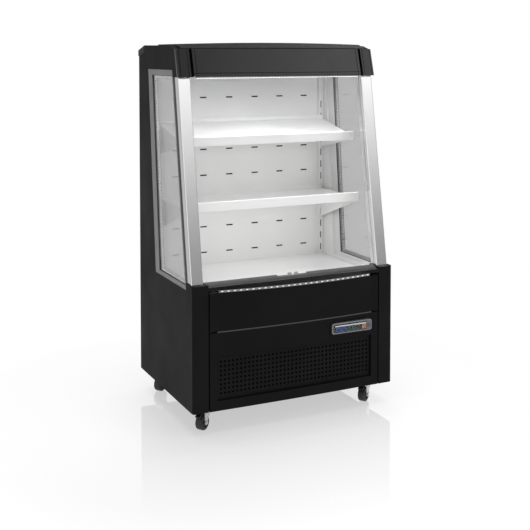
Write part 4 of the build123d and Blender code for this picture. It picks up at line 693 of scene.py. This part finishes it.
def make_floor():
    """Pale floor: matt and shadowed by the object, white further off, with a faint mirror near it."""
    mesh = bpy.data.meshes.new("floor")
    corners = [(x * FLOOR_HALF, y * FLOOR_HALF, 0) for x, y in ((-1, -1), (1, -1), (1, 1), (-1, 1))]
    mesh.from_pydata(corners, [], [(0, 1, 2, 3)])
    floor = bpy.data.objects.new("floor", mesh)
    bpy.context.scene.collection.objects.link(floor)
    mat = bpy.data.materials.new("floor")
    mat.use_nodes = True
    nodes, links = mat.node_tree.nodes, mat.node_tree.links
    shader = nodes["Principled BSDF"]
    shader.inputs["Base Color"].default_value = FLOOR_SHADE
    shader.inputs["Roughness"].default_value = 0.9
    shader.inputs["Specular IOR Level"].default_value = 0.0
    white = nodes.new("ShaderNodeEmission")
    white.inputs["Strength"].default_value = 1.0
    mirror = nodes.new("ShaderNodeBsdfGlossy")
    mirror.inputs["Roughness"].default_value = 0.04

    away = distance_from_foot(nodes, links)
    lift = ramp(nodes, links, away, FLOOR_WHITE, "SMOOTHSTEP")
    seen = seen_directly(nodes, links, "Is Camera Ray", "Is Glossy Ray", "Is Transmission Ray")
    share = calculate(nodes, links, "MULTIPLY", lift, seen)
    matt = mix_shaders(nodes, links, share, shader.outputs["BSDF"], white.outputs["Emission"])
    fade = ramp(nodes, links, away, FLOOR_MIRROR)
    camera_only = calculate(nodes, links, "MULTIPLY", fade, seen_directly(nodes, links, "Is Camera Ray"))
    mix = mix_shaders(nodes, links, camera_only, matt, mirror.outputs["BSDF"])
    links.new(mix, nodes["Material Output"].inputs["Surface"])
    floor.data.materials.append(mat)


def make_camera():
    data = bpy.data.cameras.new("camera")
    camera = bpy.data.objects.new("camera", data)
    bpy.context.scene.collection.objects.link(camera)
    camera.location = CAMERA_PLACE
    camera.rotation_euler = (CAMERA_TILT, 0.0, CAMERA_TURN)
    data.lens = CAMERA_LENS
    data.sensor_width = CAMERA_SENSOR
    data.shift_y = CAMERA_SHIFT
    bpy.context.scene.camera = camera


# ---------------------------------------------------------------- front details
def bow_y(x, sagitta):
    """Front face of a bowed strip at x, for a bulge of the given height."""
    radius = (FIELD_HALF ** 2 + sagitta ** 2) / (2 * sagitta)
    return FRONT_Y - sagitta + radius - math.sqrt(radius ** 2 - x ** 2)


def make_lip_leds():
    """A row of rounded chips on the strip under the lip, following its bow."""
    low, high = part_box("led_strip_lip")
    middle = (low.z + high.z) / 2
    half = high.x - 12 * MM
    wide, tall, proud, sunk, strip_back = 4.2 * MM, 1.8 * MM, 0.9 * MM, 0.6 * MM, 2.0 * MM
    bm = bmesh.new()
    for x in spaced(-half, half, LIP_CHIPS):
        face = bow_y(x, LIP_BOW) + strip_back
        add_box(bm, (x - wide, face - proud, middle - tall), (x + wide, face + sunk, middle + tall))
    piece("led_chips_lip", bm, "led_chip_dim", ROOT, bevel=0.5 * MM)


def make_canopy_leds():
    """A row of chips that show under the front edge of the strip in the canopy."""
    low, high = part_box("led_strip_canopy")
    half = high.x - 8 * MM
    wide, proud, depth, rise = 4.0 * MM, 0.8 * MM, 9 * MM, 1.2 * MM
    bm = bmesh.new()
    for x in spaced(-half, half, CANOPY_CHIPS):
        add_box(bm, (x - wide, low.y - proud, low.z - proud), (x + wide, low.y + depth, low.z + rise))
    piece("led_chips_canopy", bm, "led_chip", ROOT, bevel=0.5 * MM)


def make_canopy_groove_shade():
    """Painted shade: dark strips in the grooves of the canopy, and dark sheets deep in the gap beside each
    end cap.
    """
    low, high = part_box("canopy_fascia")
    slope = FASCIA_LEAN / (CANOPY_TOP - CANOPY_FOOT)

    def upright(x, proud, height):
        """Point on the leaning front, for a line that runs up it."""
        return (x, low.y + (height - CANOPY_FOOT) * slope - proud, height)

    def level(height, proud, x):
        """The same for a line that runs across it."""
        return upright(x, proud, height)

    def section(a, b, proud, deep):
        return ((a, proud), (b, proud), (b, deep), (a, deep))

    bm = bmesh.new()
    for side in (-1, 1):
        for middle, half in GROOVE_SHADE_LINES:
            line = section(side * middle - half, side * middle + half, SHADE_PROUD, -SHADE_DEEP)
            add_prism(bm, line, upright, CANOPY_FOOT + 1.0 * MM, CANOPY_TOP - 1.5 * MM)
    piece("canopy_groove_shade", bm, "groove_shade", ROOT)
    bm = bmesh.new()
    half = high.x - 3.0 * MM
    for foot, head in FASCIA_SHADE_LINES:
        add_prism(bm, section(foot, head, SHADE_PROUD, -SHADE_DEEP), level, -half, half)
    piece("fascia_groove_shade", bm, "groove_shade", ROOT)
    bm = bmesh.new()
    for side in (-1, 1):
        flange = section(*(side * x for x in CAP_GAP), -CAP_GAP_DEEP, -CAP_GAP_DEEP - CAP_GAP_THICK)
        add_prism(bm, flange, upright, CANOPY_FOOT + 0.5 * MM, CANOPY_TOP - 2.0 * MM)
    piece("canopy_gap_shade", bm, "groove_shade", ROOT)


def make_controller():
    """Clear cover over a dark board with a blue screen, keys and an amber rocker, and a painted highlight
    along the cover's upper bend.
    """
    low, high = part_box("controller_lens")
    face = high.y - BOARD_THICK
    width = high.x - low.x
    tall = high.z - low.z
    button_low, button_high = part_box("controller_button")
    button = (button_low + button_high) / 2
    split = button.x - BUTTON_ROOM

    bm = bmesh.new()
    add_box(bm, (low.x, face, low.z), (split, high.y, high.z))
    board = piece("controller_board", bm, "display", ROOT, bevel=0.4 * MM)
    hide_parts("controller_lens")

    # beside the board, a square plate with a round hole for the button
    circle, square = [], []
    corners, tiny = 32, 1e-6
    for i in range(corners):
        turn = 2 * math.pi * (i + 0.5) / corners
        c, n = math.cos(turn), math.sin(turn)
        circle.append((button.x + BUTTON_HOLE * c, button.z + BUTTON_HOLE * n))
        reach = min(BUTTON_ROOM / max(abs(c), tiny), tall / 2 / max(abs(n), tiny))
        square.append((button.x + reach * c, button.z + reach * n))
    bm = bmesh.new()
    add_ring(bm, square, circle, lambda u, v, w: (u, w, v), low.y + 0.6 * MM, high.y)
    piece("controller_collar", bm, "collar", ROOT)

    def panel(name, across, upward, proud, finish):
        """Raised field on the board, between parts of the cover's width and height."""
        bm = bmesh.new()
        add_box(bm, (low.x + across[0] * width, face - proud, low.z + upward[0] * tall),
                (low.x + across[1] * width, face, low.z + upward[1] * tall))
        piece(name, bm, finish, ROOT, bevel=0.3 * MM)

    panel("controller_screen", (0.06, 0.36), (0.12, 0.72), 0.8 * MM, "screen_blue")
    panel("controller_rocker", (0.76, 0.875), (0.08, 0.90), 1.5 * MM, "rocker_amber")
    bm = bmesh.new()
    for column in range(KEY_COLUMNS):
        for row in range(KEY_ROWS):
            x = low.x + (KEY_START_X + KEY_PITCH_X * column) * width
            z = low.z + (KEY_START_Z + KEY_PITCH_Z * row) * tall
            add_box(bm, (x - KEY_HALF_X, face - KEY_PROUD, z - KEY_HALF_Z),
                    (x + KEY_HALF_X, face, z + KEY_HALF_Z))
    piece("controller_keys", bm, "key_green", ROOT, bevel=0.4 * MM)

    # the cover bulges forward, and a pale strip along its upper bend is a painted highlight
    bulge, cover_back, cover_points = 1.6 * MM, 1.2 * MM, 17
    outline = [(low.y - bulge * (1.0 - t * t), (low.z + high.z) / 2 + t * tall / 2)
               for t in spaced(-1.0, 1.0, cover_points)]
    outline += [(low.y + cover_back, high.z), (low.y + cover_back, low.z)]
    bm = bmesh.new()
    add_prism(bm, outline, lambda u, v, w: (w, u, v), low.x, split - 0.3 * MM)
    piece("controller_cover", bm, "cover", ROOT)
    bm = bmesh.new()
    add_box(bm, (low.x + 0.03 * width, low.y - 1.5 * MM, low.z + 0.76 * tall),
            (split - 4 * MM, low.y - 0.4 * MM, low.z + 0.90 * tall))
    piece("controller_cover_highlight", bm, "ledge", ROOT, bevel=0.35 * MM)


def make_dust_filter():
    """Pleated mat behind the holes of the grille."""
    low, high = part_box("vent_grille")
    front = high.y + 0.4 * MM
    half = high.x - 6 * MM
    pleats = enumerate(spaced(-half, half, 2 * FILTER_PLEATS + 1))
    line = [(x, front + (FILTER_DEPTH if i % 2 else 0.0)) for i, x in pleats]
    outline = line + [(x, y + FILTER_THICK) for x, y in reversed(line)]
    bm = bmesh.new()
    add_prism(bm, outline, lambda u, v, w: (u, v, w), low.z + 4 * MM, high.z - 4 * MM)
    piece("grille_filter", bm, "filter_mat", ROOT)


# ---------------------------------------------------------------- windows
def window_outline(inset):
    """Clear opening of the right window in (y, z), drawn in by inset."""
    low = WINDOW_FOOT + FRAME_SILL + inset
    high = WINDOW_HEAD - FRAME_HEAD - inset
    rear_in = FRAME_REAR + inset
    front_in = FRAME_FRONT + inset

    def rear(z):
        return WINDOW_REAR_Y + (z - WINDOW_FOOT) * REAR_SLOPE - rear_in

    def front(z):
        return POST_FOOT_Y + (z - BASE_TOP) * LEAN_SLOPE + POST_DEPTH + front_in

    return [(rear(low), low), (rear(high), high), (front(high), high), (front(low), low)]


def make_window_trim(side, word):
    """Gaskets on both panes, and between them the spacer with its sealant and breathing holes."""
    def place(u, v, w):
        return (side * w, u, v)

    bm = bmesh.new()
    for low, high in ((PANE_OUTER, PANE_OUTER + GASKET_THICK), (PANE_INNER - GASKET_THICK, PANE_INNER)):
        add_ring(bm, window_outline(-0.3 * MM), window_outline(2.0 * MM), place, low, high)
    piece("window_gasket_" + word, bm, "rubber", ROOT)
    bm = bmesh.new()
    inner = window_outline(SPACER_INSET)
    add_ring(bm, window_outline(1.5 * MM), inner, place, GAP_LOW, GAP_HIGH)
    piece("window_spacer_" + word, bm, "spacer", ROOT)
    bm = bmesh.new()
    for low, high in ((GAP_LOW, GAP_LOW + SEALANT_WIDE), (GAP_HIGH - SEALANT_WIDE, GAP_HIGH)):
        add_ring(bm, inner, window_outline(SPACER_INSET + SEALANT_THICK), place, low, high)
    middle_y = sum(y for y, z in inner) / 4
    middle_z = sum(z for y, z in inner) / 4
    for (ay, az), (by, bz) in zip(inner, inner[1:] + inner[:1]):
        length = math.hypot(by - ay, bz - az)
        inward = Vector((0.0, -(bz - az) / length, (by - ay) / length))
        if inward.dot(Vector((0.0, middle_y - ay, middle_z - az))) < 0:
            inward = -inward
        count = int(length / BEAD_PITCH)
        for t in (i / count for i in range(1, count)):
            spot = place(ay + (by - ay) * t, az + (bz - az) * t, (GAP_LOW + GAP_HIGH) / 2)
            add_lathe(bm, BEAD_PROFILE, spot, inward, 6)
    piece("window_sealant_" + word, bm, "rubber", ROOT)


def make_upright_slot_shade():
    """Dark sheet at the back of the shelf uprights, behind their hook slots: painted shade inside the
    channel.
    """
    low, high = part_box("shelf_upright_right")
    rear = UPRIGHT_SHADE_Y + UPRIGHT_SHADE_THICK
    bm = bmesh.new()
    for side in (-1, 1):
        left, right = side * UPRIGHT_X - UPRIGHT_INSIDE, side * UPRIGHT_X + UPRIGHT_INSIDE
        add_box(bm, (left, UPRIGHT_SHADE_Y, low.z + 3 * MM), (right, rear, high.z - 3 * MM))
    piece("upright_slot_shade", bm, "rubber", ROOT, bevel=0.2 * MM)


# ---------------------------------------------------------------- night blind
def make_blind():
    """Cloth wound on its roller, and the run of cloth from the roll to the pull bar."""
    low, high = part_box("night_blind_screen")
    centre_y, centre_z = (low.y + high.y) / 2, (low.z + high.z) / 2
    outside = (high.z - low.z) / 2 - 0.2 * MM
    path = []
    for t in spaced(0.0, 1.0, ROLL_STEPS + 1):
        radius = ROLL_INSIDE + (outside - ROLL_INSIDE) * t
        angle = 2 * math.pi * ROLL_TURNS * t
        path.append((centre_y + radius * math.cos(angle), centre_z + radius * math.sin(angle)))
    roll = cloth_run("blind_roll", path, low.x, high.x)
    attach(roll, "blind_roller")
    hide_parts("night_blind_screen")

    low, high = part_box("night_blind_apron")
    foot = Vector((0.0, low.y + CLOTH_THICK, low.z))
    head = Vector((0.0, high.y - CLOTH_THICK, high.z))
    path = list(zip(spaced(foot.y, head.y, APRON_STEPS + 1), spaced(foot.z, head.z, APRON_STEPS + 1)))
    apron = cloth_run("blind_apron", path, low.x, high.x)
    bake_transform(apron)
    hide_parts("night_blind_apron")


def cloth_run(name, path, left, right):
    """Cloth along a path in (y, z), from left to right, thickened on both sides."""
    columns = 24
    bm = bmesh.new()
    rows = [[bm.verts.new((x, y, z)) for x in spaced(left, right, columns + 1)] for y, z in path]
    for low, high in zip(rows, rows[1:]):
        for i in range(columns):
            bm.faces.new((low[i], low[i + 1], high[i + 1], high[i]))
    for face in bm.faces:
        face.smooth = True
    obj = link_mesh(name, bm, "blind_cloth")
    solid = obj.modifiers.new("cloth", "SOLIDIFY")
    solid.thickness = CLOTH_THICK
    solid.offset = 0.0
    bpy.context.view_layer.update()
    shaped = obj.evaluated_get(bpy.context.evaluated_depsgraph_get())
    obj.data = bpy.data.meshes.new_from_object(shaped)
    obj.modifiers.clear()
    return obj


# ---------------------------------------------------------------- casters and fasteners
def make_caster_details():
    """Washer and nut at both ends of each axle, on its fork, and a ring on both faces of each wheel."""
    heading = Vector((math.cos(CASTER_HEADING), math.sin(CASTER_HEADING), 0.0))
    axle = Vector((-heading.y, heading.x, 0.0))
    washer = [(0.0, 0.0), (9 * MM, 0.0), (9 * MM, 1.0 * MM), (0.0, 1.0 * MM)]
    nut_start, nut_across, nut_height = 0.2 * MM, 7 * MM, 4.2 * MM
    for corner in CORNERS:
        low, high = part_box("caster_wheel_" + corner)
        centre = (low + high) / 2
        bm = bmesh.new()
        for out in (-axle, axle):
            add_nut(bm, centre + out * (AXLE_REACH + nut_start), out, nut_across, nut_height)
            add_lathe(bm, washer, centre + out * AXLE_REACH, out, 20)
        piece("caster_axle_" + corner, bm, "zinc", "swivel_" + corner)
        bm = bmesh.new()
        for out in (-axle, axle):
            add_lathe(bm, HUB_RING, centre + out * HUB_REACH, out, 32)
        piece("caster_hub_ring_" + corner, bm, "fan_black", "wheel_" + corner)


def make_fasteners():
    """Screws that hold the rear panel, and the nuts of the caster plates."""
    low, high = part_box("back_panel")
    seat, screw_radius, rows = high.y + 0.4 * MM, 4.0 * MM, 7
    edge_x, foot_z, head_z = high.x - 16 * MM, low.z + 22 * MM, high.z - 38 * MM
    spots = [(side * edge_x, z) for z in spaced(foot_z, head_z, rows) for side in (-1, 1)]
    spots += [(x, high.z - 24 * MM) for x in (-0.2, 0.0, 0.2)]
    bm = bmesh.new()
    for x, z in spots:
        add_screw(bm, (x, seat, z), (0, 1, 0), screw_radius)
    piece("rear_screws", bm, "zinc", ROOT)

    bm = bmesh.new()
    plate_z, nut_across, nut_height = PLATE_FOOT + 0.05 * MM, 6.5 * MM, 4.5 * MM
    for corner in CORNERS:
        x = CASTER_X if corner[1] == "r" else -CASTER_X
        y = CASTER_FRONT_Y if corner[0] == "f" else CASTER_REAR_Y
        for dx in (-PLATE_BOLT, PLATE_BOLT):
            for dy in (-PLATE_BOLT, PLATE_BOLT):
                add_nut(bm, (x + dx, y + dy, plate_z), (0, 0, -1), nut_across, nut_height)
    piece("caster_bolts", bm, "zinc", ROOT)


# ---------------------------------------------------------------- build
materials = make_finishes()
materials["pane"] = clear_material("pane", (0.71, 0.71, 0.71), (0.93, 0.93, 0.93), 1.38)
materials["cover"] = clear_material("cover", (0.97, 0.98, 0.98), (0.95, 0.95, 0.95), 1.16)


def dress_nodes():
    """Each CAD node takes the finish of its material slot, or its own where it differs."""
    # the base frame and condenser take dark finishes as painted shade behind the grille
    own = {
        "canopy_fascia": "fascia_gloss", "base_frame": "chassis", "condenser": "fins_in_painted_shade",
        "canopy_end_left": "cap_gloss", "canopy_end_right": "cap_gloss", "back_panel": "rear_panel",
    }
    for name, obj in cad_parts.items():
        for slot in obj.material_slots:
            slot.material = materials[own.get(name, slot.material.name.split(".")[0])]


dress_nodes()
make_lip_leds()
make_canopy_leds()
make_canopy_groove_shade()
make_controller()
make_dust_filter()
make_window_trim(1, "right")
make_window_trim(-1, "left")
make_upright_slot_shade()
make_blind()
make_caster_details()
make_fasteners()
make_world()
make_floor()
make_camera()
for settings in LAMPS:
    make_lamp(*settings)

bpy.context.scene.view_settings.view_transform = "Standard"
